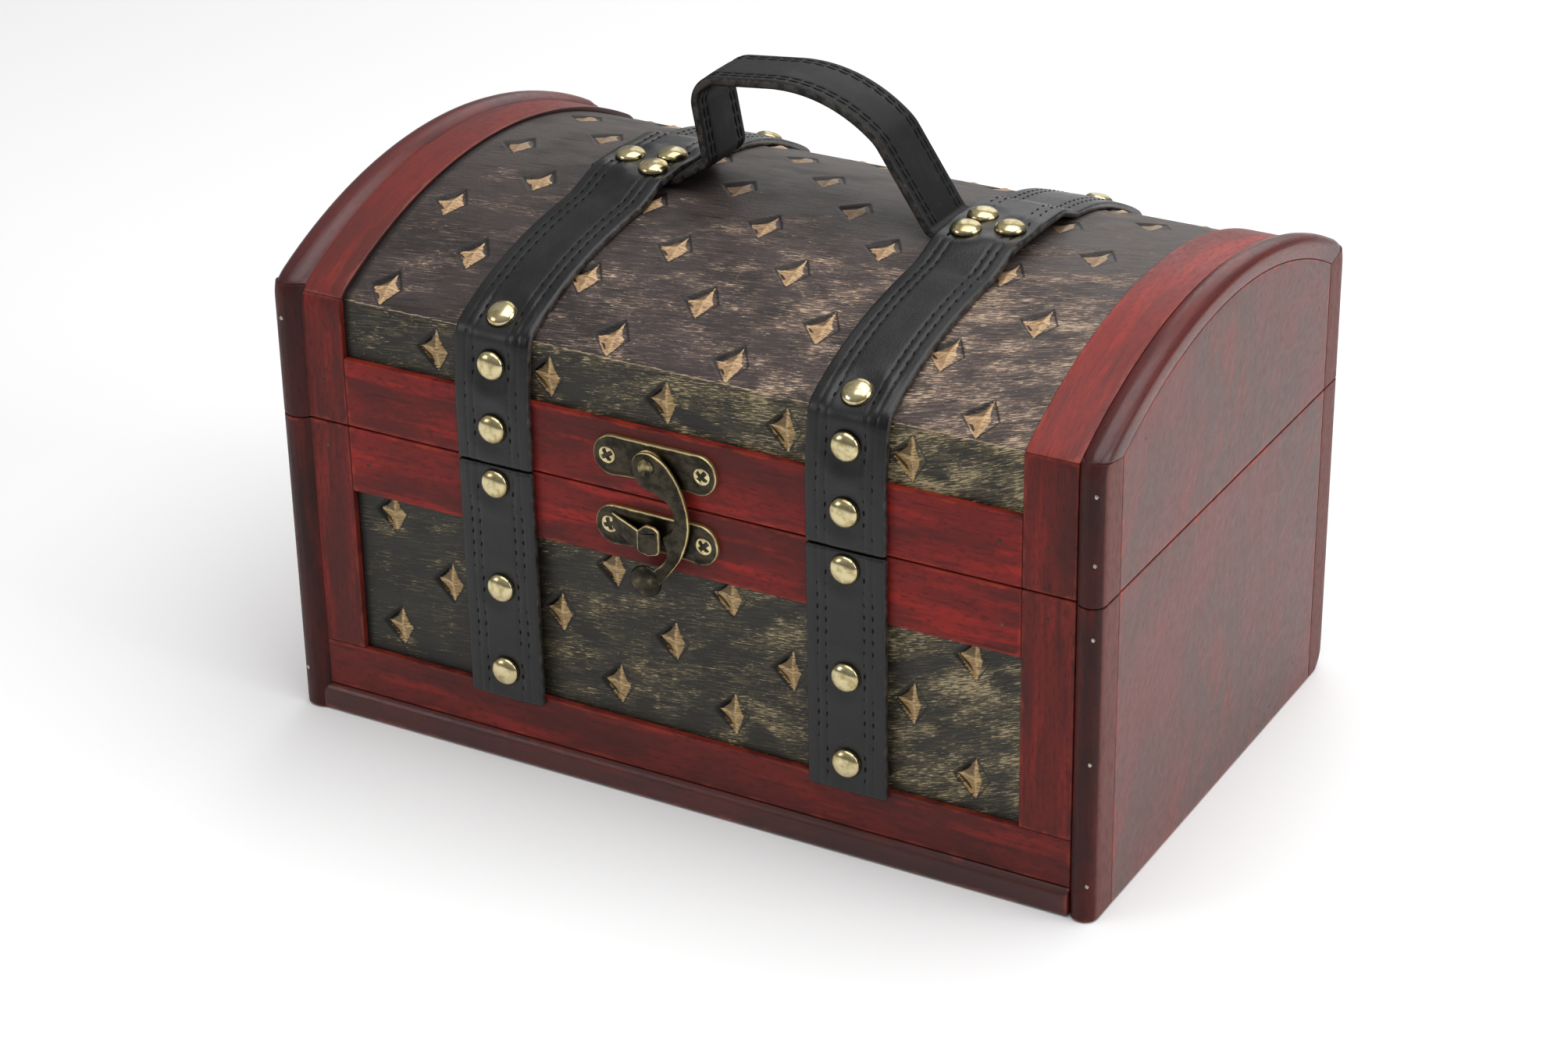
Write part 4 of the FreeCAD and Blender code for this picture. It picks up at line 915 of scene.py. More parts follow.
# Painted sheen: the crown loses gold strokes.
rub = add(tree, "ShaderNodeMath", {0: crown, 1: CROWN_SHEEN_RUB, 2: rub}, operation="MULTIPLY_ADD").outputs[0]
rub = add(tree, "ShaderNodeMath", {0: rub, 1: on_wall}, operation="ADD").outputs[0]
rub = add(tree, "ShaderNodeMath", {0: on_top, 1: -WALL_RUB, 2: rub}, operation="MULTIPLY_ADD").outputs[0]
here = add(tree, "ShaderNodeUVMap", uv_map="star").outputs["UV"]
lee = add(tree, "ShaderNodeVectorMath", {0: here, 1: LEE_PLACE}, operation="SUBTRACT").outputs["Vector"]
lee = add(tree, "ShaderNodeVectorMath", {0: lee, 1: LEE_SIZE}, operation="DIVIDE").outputs["Vector"]
lee = add(tree, "ShaderNodeVectorMath", {0: lee}, operation="LENGTH").outputs["Value"]
lee = add(tree, "ShaderNodeMath", {0: fields["patches"], 1: LEE_BREAK, 2: lee},
          operation="MULTIPLY_ADD").outputs[0]
lee = add(tree, "ShaderNodeMapRange", {"Value": lee, "From Min": LEE_FAR,
                                       "From Max": LEE_NEAR}).outputs["Result"]
missed = add(tree, "ShaderNodeMapRange", {"Value": on_top, "To Min": LEE_WALL,
                                          "To Max": LEE_TOP}).outputs["Result"]
rub = add(tree, "ShaderNodeMath", {0: lee, 1: missed, 2: rub}, operation="MULTIPLY_ADD").outputs[0]
print("the skin runs", round(arch_length), "mm over the arch")

# %% Ground and gold strokes
STROKE_RUB = 0.6
# Painted sheen: ground, strokes and gold are paler and pinker on the top than on the walls, and the
# ground is paler still on the crown.
ground = layer(tree, srgb("#2a2821"), srgb("#3c3231"), on_top, 0.0, 1.0)
ground = layer(tree, ground, srgb("#4a4340"), crown, 0.0, 1.0)
ground = layer(tree, ground, srgb("#1c1915"), fields["clouds"], 0.46, 0.62, 0.6)
ground = layer(tree, ground, srgb("#15120f"), fields["shadows"], 0.50, 0.68, 0.7)
haze = layer(tree, srgb("#544c38"), srgb("#67554c"), on_top, 0.0, 1.0)
gold = layer(tree, srgb("#b3a27c"), srgb("#bfa68c"), on_top, 0.0, 1.0)
let = [add(tree, "ShaderNodeMath", {0: rub, 1: STROKE_RUB, 2: fields[name]},
           operation="MULTIPLY_ADD").outputs[0] for name in ("strokes", "flecks")]
colour = layer(tree, ground, haze, let[0], 0.79, 0.90, 0.85)
colour = layer(tree, colour, gold, let[1], 0.89, 0.99, 0.9)
colour = layer(tree, colour, srgb("#1b1815"), fields["pebbles"], 0.50, 0.66, 0.4)
print("ground laid:", len(tree.nodes), "nodes so far")

# %% [markdown]
# ### Painted stars
#
# Inside a diamond the ground is dark, most of all on its deep left side, and a thin line of painted
# shade follows its rim. The gold on the star ends ragged, and it reaches less far to the right the
# further right the star stands. Its ridges are the palest, broken by scratches: rubbed gold with a
# painted highlight on it. The face that looks up and left stays brown.

# %% Star paint
RIM_MIDDLE, RIM_HALF, TURN = 1.0, 0.085, 0.02
SUNK_RIGHT, SUNK_LEFT, WALL_END = 0.3, -0.1, 0.93
LEFT_REACH, SHORT_LEFT, SHORT_RIGHT = 0.91, 0.58, 0.27
LOWER_POWER, WALL_POWER, TOP_POWER, POWER_TURN = 1.05, 0.8, 0.72, 0.05
place = add(tree, "ShaderNodeSeparateXYZ", {"Vector": here})
across, upward = place.outputs["X"], place.outputs["Y"]
arms = [add(tree, "ShaderNodeMath", {0: way}, operation="ABSOLUTE").outputs[0]
        for way in (across, upward)]
wide = add(tree, "ShaderNodeMapRange", {"Value": across, "From Min": -TURN, "From Max": TURN,
                                        "To Min": 1.0, "To Max": STAR_RIGHT}).outputs["Result"]
wing = add(tree, "ShaderNodeMath", {0: arms[0], 1: wide}, operation="DIVIDE").outputs[0]
rim = add(tree, "ShaderNodeMath", {0: wing, 1: arms[1]}, operation="ADD").outputs[0]
sunk = add(tree, "ShaderNodeMapRange", {"Value": across, "From Min": SUNK_RIGHT,
                                        "From Max": SUNK_LEFT}).outputs["Result"]
inside = add(tree, "ShaderNodeMapRange", {"Value": rim, "From Min": WALL_START,
                                          "From Max": WALL_END}).outputs["Result"]
sunk = add(tree, "ShaderNodeMath", {0: sunk, 1: inside}, operation="MULTIPLY").outputs[0]
colour = layer(tree, colour, srgb("#14110e"), sunk, 0.0, 1.0, 0.85)
# Painted shade: a thin dark line along the rim of each diamond.
rim_shade = add(tree, "ShaderNodeMath", {0: rim, 1: RIM_MIDDLE, 2: RIM_HALF},
               operation="COMPARE").outputs[0]
colour = layer(tree, colour, srgb("#15110f"), rim_shade, 0.0, 1.0, 0.75)
short = add(tree, "ShaderNodeMapRange", {"Value": along_chest, "From Min": -stile_x, "From Max": stile_x,
                                         "To Min": SHORT_LEFT, "To Max": SHORT_RIGHT}).outputs["Result"]
reach = add(tree, "ShaderNodeMapRange", {"Value": across, "From Min": -TURN, "From Max": TURN,
                                         "To Min": LEFT_REACH, "To Max": short}).outputs["Result"]
hollow = add(tree, "ShaderNodeMapRange", {"Value": on_top, "To Min": WALL_POWER,
                                          "To Max": TOP_POWER}).outputs["Result"]
power = add(tree, "ShaderNodeMapRange", {"Value": upward, "From Min": -POWER_TURN, "From Max": POWER_TURN,
                                         "To Min": LOWER_POWER, "To Max": hollow}).outputs["Result"]
arm = add(tree, "ShaderNodeMath", {0: arms[0], 1: reach}, operation="DIVIDE").outputs[0]
tips = [add(tree, "ShaderNodeMath", {0: side, 1: power}, operation="POWER").outputs[0]
        for side in (arm, arms[1])]
star = add(tree, "ShaderNodeMath", {0: tips[0], 1: tips[1]}, operation="ADD").outputs[0]
print("star shaped:", len(tree.nodes), "nodes so far")

# %% Gold on the stars
RIDGE_BREAK, TIP_BREAK, TIP_RUB = 0.5, 0.4, -0.5
# Painted sheen: the stars are paler on the top than on the walls.
rubbed = layer(tree, srgb("#a5885b"), srgb("#b6936f"), on_top, 0.0, 1.0)
rubbed = layer(tree, rubbed, srgb("#503826"), fields["scratches"], 0.46, 0.66, 0.7)
leftward = add(tree, "ShaderNodeMath", {0: across, 1: -1.0}, operation="MULTIPLY").outputs[0]
shaded = add(tree, "ShaderNodeMath", {0: leftward, 1: upward}, operation="MINIMUM").outputs[0]
rubbed = layer(tree, rubbed, srgb("#3d3023"), shaded, 0.02, 0.12, 0.6)
# Painted highlight on the ridges, over the rubbed gold.
ridge = add(tree, "ShaderNodeMath", {0: arms[0], 1: arms[1]}, operation="MINIMUM").outputs[0]
ridge = add(tree, "ShaderNodeMath", {0: fields["scratches"], 1: RIDGE_BREAK, 2: ridge},
            operation="MULTIPLY_ADD").outputs[0]
rubbed = layer(tree, rubbed, srgb("#d6bb8b"), ridge, 0.34, 0.25, 0.5)
# Painted sheen: the stars on the crown are greyed.
rubbed = layer(tree, rubbed, srgb("#7d6b5c"), crown, 0.0, 1.0, 0.7)
ragged = add(tree, "ShaderNodeMath", {0: fields["scratches"], 1: TIP_BREAK, 2: star},
             operation="MULTIPLY_ADD").outputs[0]
ragged = add(tree, "ShaderNodeMath", {0: rub, 1: TIP_RUB, 2: ragged}, operation="MULTIPLY_ADD").outputs[0]
colour = layer(tree, colour, rubbed, ragged, 0.93, 0.84)
print("stars painted:", len(tree.nodes), "nodes so far")

# %% [markdown]
# Where the skin turns from the front onto the top, the edge is rubbed thickest, and its line of gold is
# also a painted highlight. Painted shade lies along the left stiles. Gloss changes with the patches, and
# the strokes and pebbles stand up a little.

# %% Edges, gloss and grain of the skin
FOLD_PLACE, FOLD_BREAK, SHADE_FAR, SHADE_NEAR = 0.3, -2.4, 3.2, 0.6
# Painted highlight along the crease, in the rubbed gold.
fold = add(tree, "ShaderNodeMath", {0: along_section, 1: -FOLD_PLACE}, operation="ADD").outputs[0]
fold = add(tree, "ShaderNodeMath", {0: fold}, operation="ABSOLUTE").outputs[0]
fold = add(tree, "ShaderNodeMath", {0: fields["flecks"], 1: FOLD_BREAK, 2: fold},
           operation="MULTIPLY_ADD").outputs[0]
colour = layer(tree, colour, gold, fold, -0.85, -1.25, 0.7)
# Painted shade along the left edge of the skin, beside the stiles and strips that stand proud of it.
colour = layer(tree, colour, srgb("#14110f"), along_chest, SHADE_FAR - stile_x, SHADE_NEAR - stile_x, 0.8)
relief = add(tree, "ShaderNodeMath", {0: fields["strokes"], 1: 0.8, 2: fields["pebbles"]},
             operation="MULTIPLY_ADD").outputs[0]
finish_surface(tree, shader, colour, (fields["patches"], 0.40, 0.56), (relief, 0.55, 0.3))
print(cover_skin.name, "has", len(tree.nodes), "nodes")

# %% Coverings of the base
# The material counts heights from the crease of the lid, so the base's grain is moved after its stars
# have been placed.
crease = arc_height(cover_radius, cover_face)
for face, way in FACES.items():
    z_lines = fine_lines(foot_rail_top - 1, base_rail_bottom + 1, BASE_ROWS[:, 0], ROW_REACH)
    wall = np.stack((np.full_like(z_lines, way * cover_face), z_lines), axis=-1)
    outward = np.tile((way, 0.0), (len(z_lines), 1))
    node = f"base_{face}_cover"
    made = piece(f"{node}_skin", [covering(z_lines, wall, outward, BASE_ROWS)], cover_skin, [node])
    paint_stars(made, BASE_ROWS)
    marks = made.data.attributes["grain"].data
    values = np.zeros(3 * len(marks))
    marks.foreach_get("vector", values)
    values[1::3] -= crease
    marks.foreach_set("vector", values)
print("base skin:", len(made.data.polygons), "faces")

# %% Covering of the lid
CREASE_ROUND, CREASE_SAMPLES = 2.5, 9
wall_length = crease - lid_rail_top + 1


def lid_section(s):
    """y and z of the lid's skin: up the front wall for s < 0, over the arc, and down the back wall."""
    angle = np.clip(s / arch_length, 0, 1) * 2 * half_angle - half_angle
    drop = np.minimum(s, 0) - np.maximum(s - arch_length, 0)
    return np.stack((cover_radius * np.sin(angle), arch_z + cover_radius * np.cos(angle) + drop), axis=-1)


s_lines = fine_lines(-wall_length, arch_length + wall_length, LID_ROWS[:, 0], ROW_REACH)
spread = np.linspace(-1, 1, CREASE_SAMPLES)[:, None] * CREASE_ROUND
section = lid_section(s_lines[None] + spread).mean(axis=0)
tangent = unit_rows(np.gradient(section, s_lines, axis=0))
outward = np.stack((-tangent[:, 1], tangent[:, 0]), axis=-1)
made = piece("lid_cover_skin", [covering(s_lines, section, outward, LID_ROWS)], cover_skin, ["lid_cover"])
paint_stars(made, LID_ROWS)
print("lid skin:", len(made.data.polygons), "faces")

# %% [markdown]
# ## Leather straps and handle
#
# Straps and handle are cut from thick black leather with rounded edges and two rows of stitches along
# each edge. Thread pulls into the leather, so each row lies in a shallow groove and the strap swells
# between the rows. A strap could be a bent plank with a picture of stitches, but close up the thread has
# to catch the light. So a strap is its section, carried along a smoothed line over the lid, and a stitch
# is a small bead, copied along the groove.

# %% Leather and thread materials
STRAP_ROWS, HANDLE_ROWS = (4.3, 7.3), (2.9, 5.0)
CHIP_BREAK, GROOVE_FAR, GROOVE_NEAR, LEATHER_DULLED = -2.4, 0.5, 0.15, 0.18
LEATHER_FIELDS = (("clouds", (26.0, 16.0, 10.0), 3.0), ("pebbles", (0.7, 0.7, 0.7), 3.0),
                  ("creases", (2.2, 5.0, 3.0), 4.0), ("chips", (3.0, 3.0, 3.0), 3.0))


def stitched_leather(name, rows, shine, gloss):
    """Black polished leather: soft grey clouds, fine pebbles, rubbed edges, and painted shade in the
    grooves under the stitches."""
    material, tree, shader = start_material(name, Specular_IOR_Level=shine)
    grain, edge = read_marks(tree)
    fields = patterns(tree, grain, LEATHER_FIELDS)
    colour = layer(tree, srgb("#0b0b0c"), srgb("#161617"), fields["clouds"], 0.4, 0.68)
    colour = layer(tree, colour, srgb("#2b2b2d"), fields["creases"], 0.60, 0.76, 0.5)
    ragged = add(tree, "ShaderNodeMath", {0: fields["chips"], 1: CHIP_BREAK, 2: edge},
                 operation="MULTIPLY_ADD").outputs[0]
    colour = layer(tree, colour, srgb("#57504a"), ragged, -0.8, -1.5, 0.5)
    # Painted shade: each row of stitches darkens its groove.
    for row in rows:
        away = add(tree, "ShaderNodeMath", {0: edge, 1: row}, operation="SUBTRACT").outputs[0]
        away = add(tree, "ShaderNodeMath", {0: away}, operation="ABSOLUTE").outputs[0]
        colour = layer(tree, colour, srgb("#060606"), away, GROOVE_FAR, GROOVE_NEAR, 0.7)
    relief = add(tree, "ShaderNodeMath", {0: fields["creases"], 1: 0.8, 2: fields["pebbles"]},
                 operation="MULTIPLY_ADD").outputs[0]
    finish_surface(tree, shader, colour, (fields["clouds"], gloss, gloss + LEATHER_DULLED),
                   (relief, 0.3, 0.25))
    return material


# Straps: polished, with a soft sheen over the arch. Handle: duller, from being held.
strap_leather = stitched_leather("black_strap_leather", STRAP_ROWS, shine=0.4, gloss=0.24)
handle_leather = stitched_leather("black_handle_leather", HANDLE_ROWS, shine=0.3, gloss=0.46)

# Thread: waxed and dull, so it shows as small dark dots with a faint twist.
thread, tree, shader = start_material("waxed_black_thread", Roughness=0.8, Specular_IOR_Level=0.1)
grain = add(tree, "ShaderNodeAttribute", attribute_name="grain").outputs["Vector"]
twist = patterns(tree, grain, (("twist", (0.5, 0.9, 0.9), 1.0),))["twist"]
finish_surface(tree, shader, layer(tree, srgb("#0a0a0a"), srgb("#1c1c1d"), twist, 0.4, 0.6))
print("leather:", strap_leather.name, handle_leather.name, thread.name)

# %% [markdown]
# A line is a row of points. The helpers below measure it, read it at any length, space its points evenly
# and ease its corners, because thick leather doesn't bend sharply.

# %% Lines that leather follows


def line_lengths(path):
    """The length along a line at each of its points."""
    return np.concatenate(((0.0,), np.cumsum(np.linalg.norm(np.diff(path, axis=0), axis=1))))


def read_line(values, lengths, at):
    """What a line says at these lengths, straight between its points."""
    return np.stack([np.interp(at, lengths, column) for column in values.T], axis=-1)


def even(path, step):
    """The same line with points a step apart."""
    lengths = line_lengths(path)
    return read_line(path, lengths, np.linspace(0, lengths[-1], int(lengths[-1] / step) + 1))


def smooth(path, reach):
    """The line with its corners eased: each point becomes the bell-weighted mean of its neighbours
    within reach, and both ends stay."""
    head, tail = 2 * path[0] - path[reach:0:-1], 2 * path[-1] - path[-2:-reach - 2:-1]
    padded = np.vstack((head, path, tail))
    weight = np.hanning(2 * reach + 3)[1:-1]
    weight /= weight.sum()
    return np.stack([np.convolve(column, weight, "valid") for column in padded.T], axis=-1)


elbow = np.array(((0, 0), (10, 0), (10, 10)))
print("an elbow with legs of 10 mm is", line_lengths(elbow)[-1], "mm long")

# %% Bands
GROOVE_DEEP, GROOVE_WIDE, SWELL = 0.16, 0.6, 0.25
BAND_ROUND, BAND_STEP, RING_STEP, BAND_RINGS, END_PINCH = 1.0, 0.5, 1.0, 4, 0.8
RING_START, FACE_LAYER = 1.8, 0.01
NAIL_DENT, DENT_REACH = 0.75, 6.0
NAIL_SWELL, NAIL_SWELL_PLACE, NAIL_SWELL_REACH = 0.3, 10.0, 3.0


def groove(across, half, rows):
    """How far the leather dips at a distance across from its middle line: a bell-shaped valley under
    each row."""
    from_edge = half - np.abs(across)
    return sum(GROOVE_DEEP * np.exp(-((from_edge - row) / GROOVE_WIDE) ** 2) for row in rows)


def band(path, normal, cross, width, thick, rows, both=False, nails=()):
    """A strap: a rounded section carried along a line, with grooves under its stitches and a dent round
    each nail.

    Each ring is the line's point, plus across along cross, plus out along the normal there. A nail's
    dent is a bell of its distance, with a low swell outside it."""
    half = width / 2
    section = outline([(-half, 0), (half, 0), (half, thick), (-half, thick)],
                      (BAND_ROUND,) * 4, BAND_STEP)
    across, out = section.T
    swell = SWELL * (1 - (across / half) ** 2) - groove(across, half, rows)
    lower = np.where(out < FACE_LAYER, swell, 0) if both else 0
    out = out + np.where(out > thick - FACE_LAYER, swell, 0) - lower
    lengths = line_lengths(path)
    turn = np.linspace(math.pi / 2, 0, BAND_RINGS)
    near, pulled = BAND_ROUND * (1 - np.sin(turn)), BAND_ROUND * (1 - np.cos(turn))
    middle = np.arange(RING_START, lengths[-1] - BAND_ROUND, RING_STEP)
    stations = np.concatenate((near, middle, lengths[-1] - near[::-1]))
    inset = np.concatenate((pulled, np.zeros(len(middle)), pulled[::-1]))[:, None]
    line, lean = read_line(path, lengths, stations), unit_rows(read_line(normal, lengths, stations))
    wide = across[None] * (1 - inset / half)
    deep = thick / 2 + (out[None] - thick / 2) * (1 - 2 * inset / thick * END_PINCH)
    rings = line[:, None] + wide[..., None] * cross + deep[..., None] * lean[:, None]
    if len(nails):
        away = np.linalg.norm(rings[:, :, None] - np.asarray(nails), axis=-1)
        raised = NAIL_SWELL * np.exp(-((away - NAIL_SWELL_PLACE) / NAIL_SWELL_REACH) ** 2)
        dent = (NAIL_DENT * np.exp(-(away / DENT_REACH) ** 2) - raised).sum(axis=-1)
        rings = rings - np.where(deep > thick / 2, dent, 0)[..., None] * lean[:, None]
    grain = np.stack((stations[:, None] + np.zeros_like(wide), wide, deep), axis=-1)
    return loft(rings, grain, half - np.abs(wide))


print("grooves are", GROOVE_DEEP, "mm deep, dents round nails", NAIL_DENT, "mm")

# %% Stitches
STRAP_START, HANDLE_START = 3.5, 26.0
STITCH_LENGTH, HANDLE_STITCH, STITCH_PITCH = 1.7, 3.7, 4.2
STITCH_WIDE, STITCH_HIGH, STITCH_TILT, STITCH_TIP = 0.65, 0.6, 0.10, 0.97
STITCH_RINGS, STITCH_AROUND = 6, 6


def bead(length, wide, high):
    """A stitch: rings along its length, of radius sqrt(1 - t^4), flattened to its width and height."""
    t = np.linspace(-STITCH_TIP, STITCH_TIP, STITCH_RINGS)[:, None]
    turn = np.linspace(0, 2 * math.pi, STITCH_AROUND + 1)[:-1]
    radius = np.sqrt(1 - t ** 4)
    along, across, rise = t * length / 2 + 0 * turn, radius * np.cos(turn), radius * np.sin(turn)
    return loft(np.stack((along, across * wide / 2, rise * high / 2), axis=-1))


def stitches(path, normal, cross, width, out, rows, inset=STRAP_START, length=STITCH_LENGTH):
    """Beads along each row of a band, on its face at height out; at height 0 that is its back face."""
    lengths = line_lengths(path)
    count = int((lengths[-1] - 2 * inset) / STITCH_PITCH)
    at = inset + STITCH_PITCH / 2 + np.arange(count) * STITCH_PITCH
    spot, lean = read_line(path, lengths, at), unit_rows(read_line(normal, lengths, at))
    along = np.cross(np.broadcast_to(cross, lean.shape), lean)
    shape, skins = bead(length, STITCH_WIDE, STITCH_HIGH), []
    half, facing = width / 2, 1 if out > 0 else -1
    for row in rows:
        for side in (-1, 1):
            rise = out + (SWELL * (1 - ((half - row) / half) ** 2) - GROOVE_DEEP) * facing
            origin = spot + side * (half - row) * cross + rise * lean
            tilt = STITCH_TILT * side
            ahead = along + tilt * cross
            aside = np.broadcast_to(cross, lean.shape) - tilt * along
            skins.append(scattered(shape, origin, np.stack((ahead, aside, lean), axis=1)))
    return skins


print("a stitch has", len(bead(STITCH_LENGTH, STITCH_WIDE, STITCH_HIGH).quads), "faces and two caps")

# %% [markdown]
# A strap climbs the front, lies on the arch, rises over the handle's end at the crown and goes down the
# back. On the real chest both straps were nailed a little askew, so they drift to the right at the
# crown. The nails come before the straps, because each one dents its strap.

# %% Line of the lid's straps
STRAP_THICK, CROWN_FLAT, CROWN_RAMP, CROWN_LIFT = 2.6, 18.0, 12.0, 3.5
STRAP_DRIFT = {"left": 6.5, "right": 5.5}
LINE_STEP, EASE_REACH, ARCH_SAMPLES, CROWN_SAMPLES = 0.5, 7, 60, 15
RIGHTWARD, FRONTWARD = np.array((1.0, 0.0, 0.0)), np.array((0.0, -1.0, 0.0))
strap_low, strap_high = corners("lid_right_strap")
strap_middle, strap_width = (strap_low[0] + strap_high[0]) / 2, strap_high[0] - strap_low[0]
y_front = np.linspace(-cover_face, -CROWN_FLAT - CROWN_RAMP, ARCH_SAMPLES)
y_crown = np.linspace(-CROWN_FLAT, 0, CROWN_SAMPLES)
front_half = np.vstack((
    [(-trim_face, lid_bottom), (-trim_face, lid_rail_top)],
    np.stack((y_front, arc_height(cover_radius, y_front)), axis=-1),
    np.stack((y_crown, arc_height(cover_radius + CROWN_LIFT, y_crown)), axis=-1)))
back_half = (front_half * (-1, 1))[-2::-1]
strap_line = smooth(even(np.vstack((front_half, back_half)), LINE_STEP), EASE_REACH)
strap_ahead = unit_rows(np.gradient(strap_line, axis=0))
strap_lean = np.stack((-strap_ahead[:, 1], strap_ahead[:, 0]), axis=-1)


def in_section(points, x):
    """Points (y, z) of a section as points in space at this x."""
    return np.column_stack((np.full(len(points), x), points))


def drift(side, y):
    """How far a strap lies to the right of its line: most at the crown, and nothing at the walls."""
    return STRAP_DRIFT[side] * np.cos(np.clip(y / cover_face, -1, 1) * math.pi / 2) ** 2


print("lid strap", round(line_lengths(strap_line)[-1]), "mm long,", round(strap_width, 1), "mm wide")

# %% Places of the domed nails
SINK, ABOVE_RAIL_SETBACK = 0.35, 1.2
LID_STUDS, BASE_STUDS, ARCH_STUD_Y = (123.0, 144.8), (103.5, 65.5, 34.5), 86.0
TRIADS = ((6.2, -0.2), (6.2, -11.8), (-6.2, -6.0))
strap_face = trim_face + STRAP_THICK + SWELL - SINK
arch_stud_radius = cover_radius + STRAP_THICK + SWELL - SINK
crown_radius = cover_radius + CROWN_LIFT + STRAP_THICK + SWELL - SINK
spots, leans = {"lid": [], "base": []}, {"lid": [], "base": []}
for side, sign in SIDES.items():
    for face, way in FACES.items():
        for body, heights in (("lid", LID_STUDS), ("base", BASE_STUDS)):
            for z in heights:
                reach = strap_face if z < lid_rail_top else strap_face - ABOVE_RAIL_SETBACK
                spots[body].append((sign * strap_middle, way * reach, z))
                leans[body].append((0.0, way, 0.0))
        tilt = math.asin(ARCH_STUD_Y / arch_stud_radius)
        height = arch_z + arch_stud_radius * math.cos(tilt)
        spots["lid"].append((sign * strap_middle, way * ARCH_STUD_Y, height))
        leans["lid"].append((0.0, way * math.sin(tilt), math.cos(tilt)))
    for offset, y in TRIADS:
        tilt = math.asin(y / crown_radius)
        x = sign * (strap_middle - offset) + drift(side, y)
        spots["lid"].append((x, y, arch_z + crown_radius * math.cos(tilt)))
        leans["lid"].append((0.0, math.sin(tilt), math.cos(tilt)))
nail_spots = {body: np.array(places) for body, places in spots.items()}
print("nails:", {body: len(places) for body, places in nail_spots.items()})

# %% Straps over the lid
for side, sign in SIDES.items():
    path, lean = in_section(strap_line, sign * strap_middle), in_section(strap_lean, 0.0)
    path[:, 0] += drift(side, path[:, 1])
    strap = band(path, lean, RIGHTWARD, strap_width, STRAP_THICK, STRAP_ROWS, nails=nail_spots["lid"])
    piece(f"lid_{side}_strap_leather", [strap], strap_leather, [f"lid_{side}_strap"])
    sewing = stitches(path, lean, RIGHTWARD, strap_width, STRAP_THICK, STRAP_ROWS)
    piece(f"lid_{side}_strap_stitches", sewing, thread, body="lid", slot=SLOT_OF["lid_left_strap"])
print("lid strap:", len(strap.quads), "faces")

# %% Straps down the base
strap_foot = corners("base_front_left_strap")[0][2]
for face, way in FACES.items():
    skins, sewing = [], []
    for side, sign in SIDES.items():
        ends = [(sign * strap_middle, way * trim_face, z) for z in (strap_foot, base_top)]
        path = even(np.array(ends), LINE_STEP)
        lean, cross = np.tile((0.0, way, 0.0), (len(path), 1)), -way * RIGHTWARD
        skins.append(band(path, lean, cross, strap_width, STRAP_THICK, STRAP_ROWS,
                          nails=nail_spots["base"]))
        sewing += stitches(path, lean, cross, strap_width, STRAP_THICK, STRAP_ROWS)
        if face == "front":
            node = f"base_front_{side}_strap"
            piece(f"{node}_leather", skins[-1:], strap_leather, [node])
    if face == "back":
        piece("base_back_straps_leather", skins, strap_leather, ["base_back_straps"])
    piece(f"base_{face}_strap_stitches", sewing, thread, body="base", slot=SLOT_OF["base_back_straps"])
print("base straps from", round(strap_foot, 1), "to", round(base_top, 1), "mm")

# %% [markdown]
# The handle is one band whose ends lie flat under the straps. Its line was drawn over the photo as a few
# corners with wide bends: steep on the left, and a long slope on the right, as leather that has been
# pulled to one side.

# %% Handle
HANDLE_WIDTH, HANDLE_THICK, HANDLE_STEP = 25.0, 3.0, 0.4
HANDLE_LINE = [(-76.0, 0.0), (-45.0, 0.0), (-31.4, 9.4), (-36.7, 37.3),
               (13.0, 42.7), (31.7, 27.6), (50.2, 0.0), (76.0, 0.0)]
HANDLE_BENDS = [12.0, 3.0, 8.5, 51.0, 15.5, 3.6]
lid_top = arch_z + cover_radius + HANDLE_THICK / 2
flat_line = even(rounded_path(HANDLE_LINE, HANDLE_BENDS, LINE_STEP), HANDLE_STEP)
ahead = unit_rows(np.gradient(flat_line, axis=0))
middle_y = np.zeros(len(ahead))
lean = np.column_stack((-ahead[:, 1], middle_y, ahead[:, 0]))
path = np.column_stack((flat_line[:, 0], middle_y, flat_line[:, 1] + lid_top)) - lean * HANDLE_THICK / 2
grip = band(path, lean, FRONTWARD, HANDLE_WIDTH, HANDLE_THICK, HANDLE_ROWS, both=True)
piece("handle_leather", [grip], handle_leather, ["handle"])
sewing = []
for height in (HANDLE_THICK, 0.0):
    sewing += stitches(path, lean, FRONTWARD, HANDLE_WIDTH, height, HANDLE_ROWS,
                       HANDLE_START, HANDLE_STITCH)
piece("handle_stitches", sewing, thread, body="lid", slot=SLOT_OF["handle"])
print("handle", round(line_lengths(flat_line)[-1]), "mm long")

# %% [markdown]
# ## Brass nails
#
# The domed nails are stamped from thin brass: a low dome with a narrow rolled rim. A turned shape like
# this is a profile, carried round an axis, so its rings are circles of changing radius. The same function
# makes the rivet, the screws and the brads.

# %% Brass material
# Polished brass: pale gold, bright reflections broken by faint clouds, and a dark line round the rim.
# In a screw's cross the same near-black is painted shade.
brass, tree, shader = start_material("polished_brass", Metallic=1.0)
grain, edge = read_marks(tree)
clouds = patterns(tree, grain, (("clouds", (3.0, 3.0, 3.0), 3.0),))["clouds"]
colour = layer(tree, srgb("#d2c59c"), srgb("#ab9a6c"), clouds, 0.4, 0.7)
colour = layer(tree, colour, srgb("#0f0b06"), edge, 0.4, 0.08, 0.95)
finish_surface(tree, shader, colour, (clouds, 0.14, 0.28), (clouds, 0.08, 0.4))
print("nails:", brass.name)

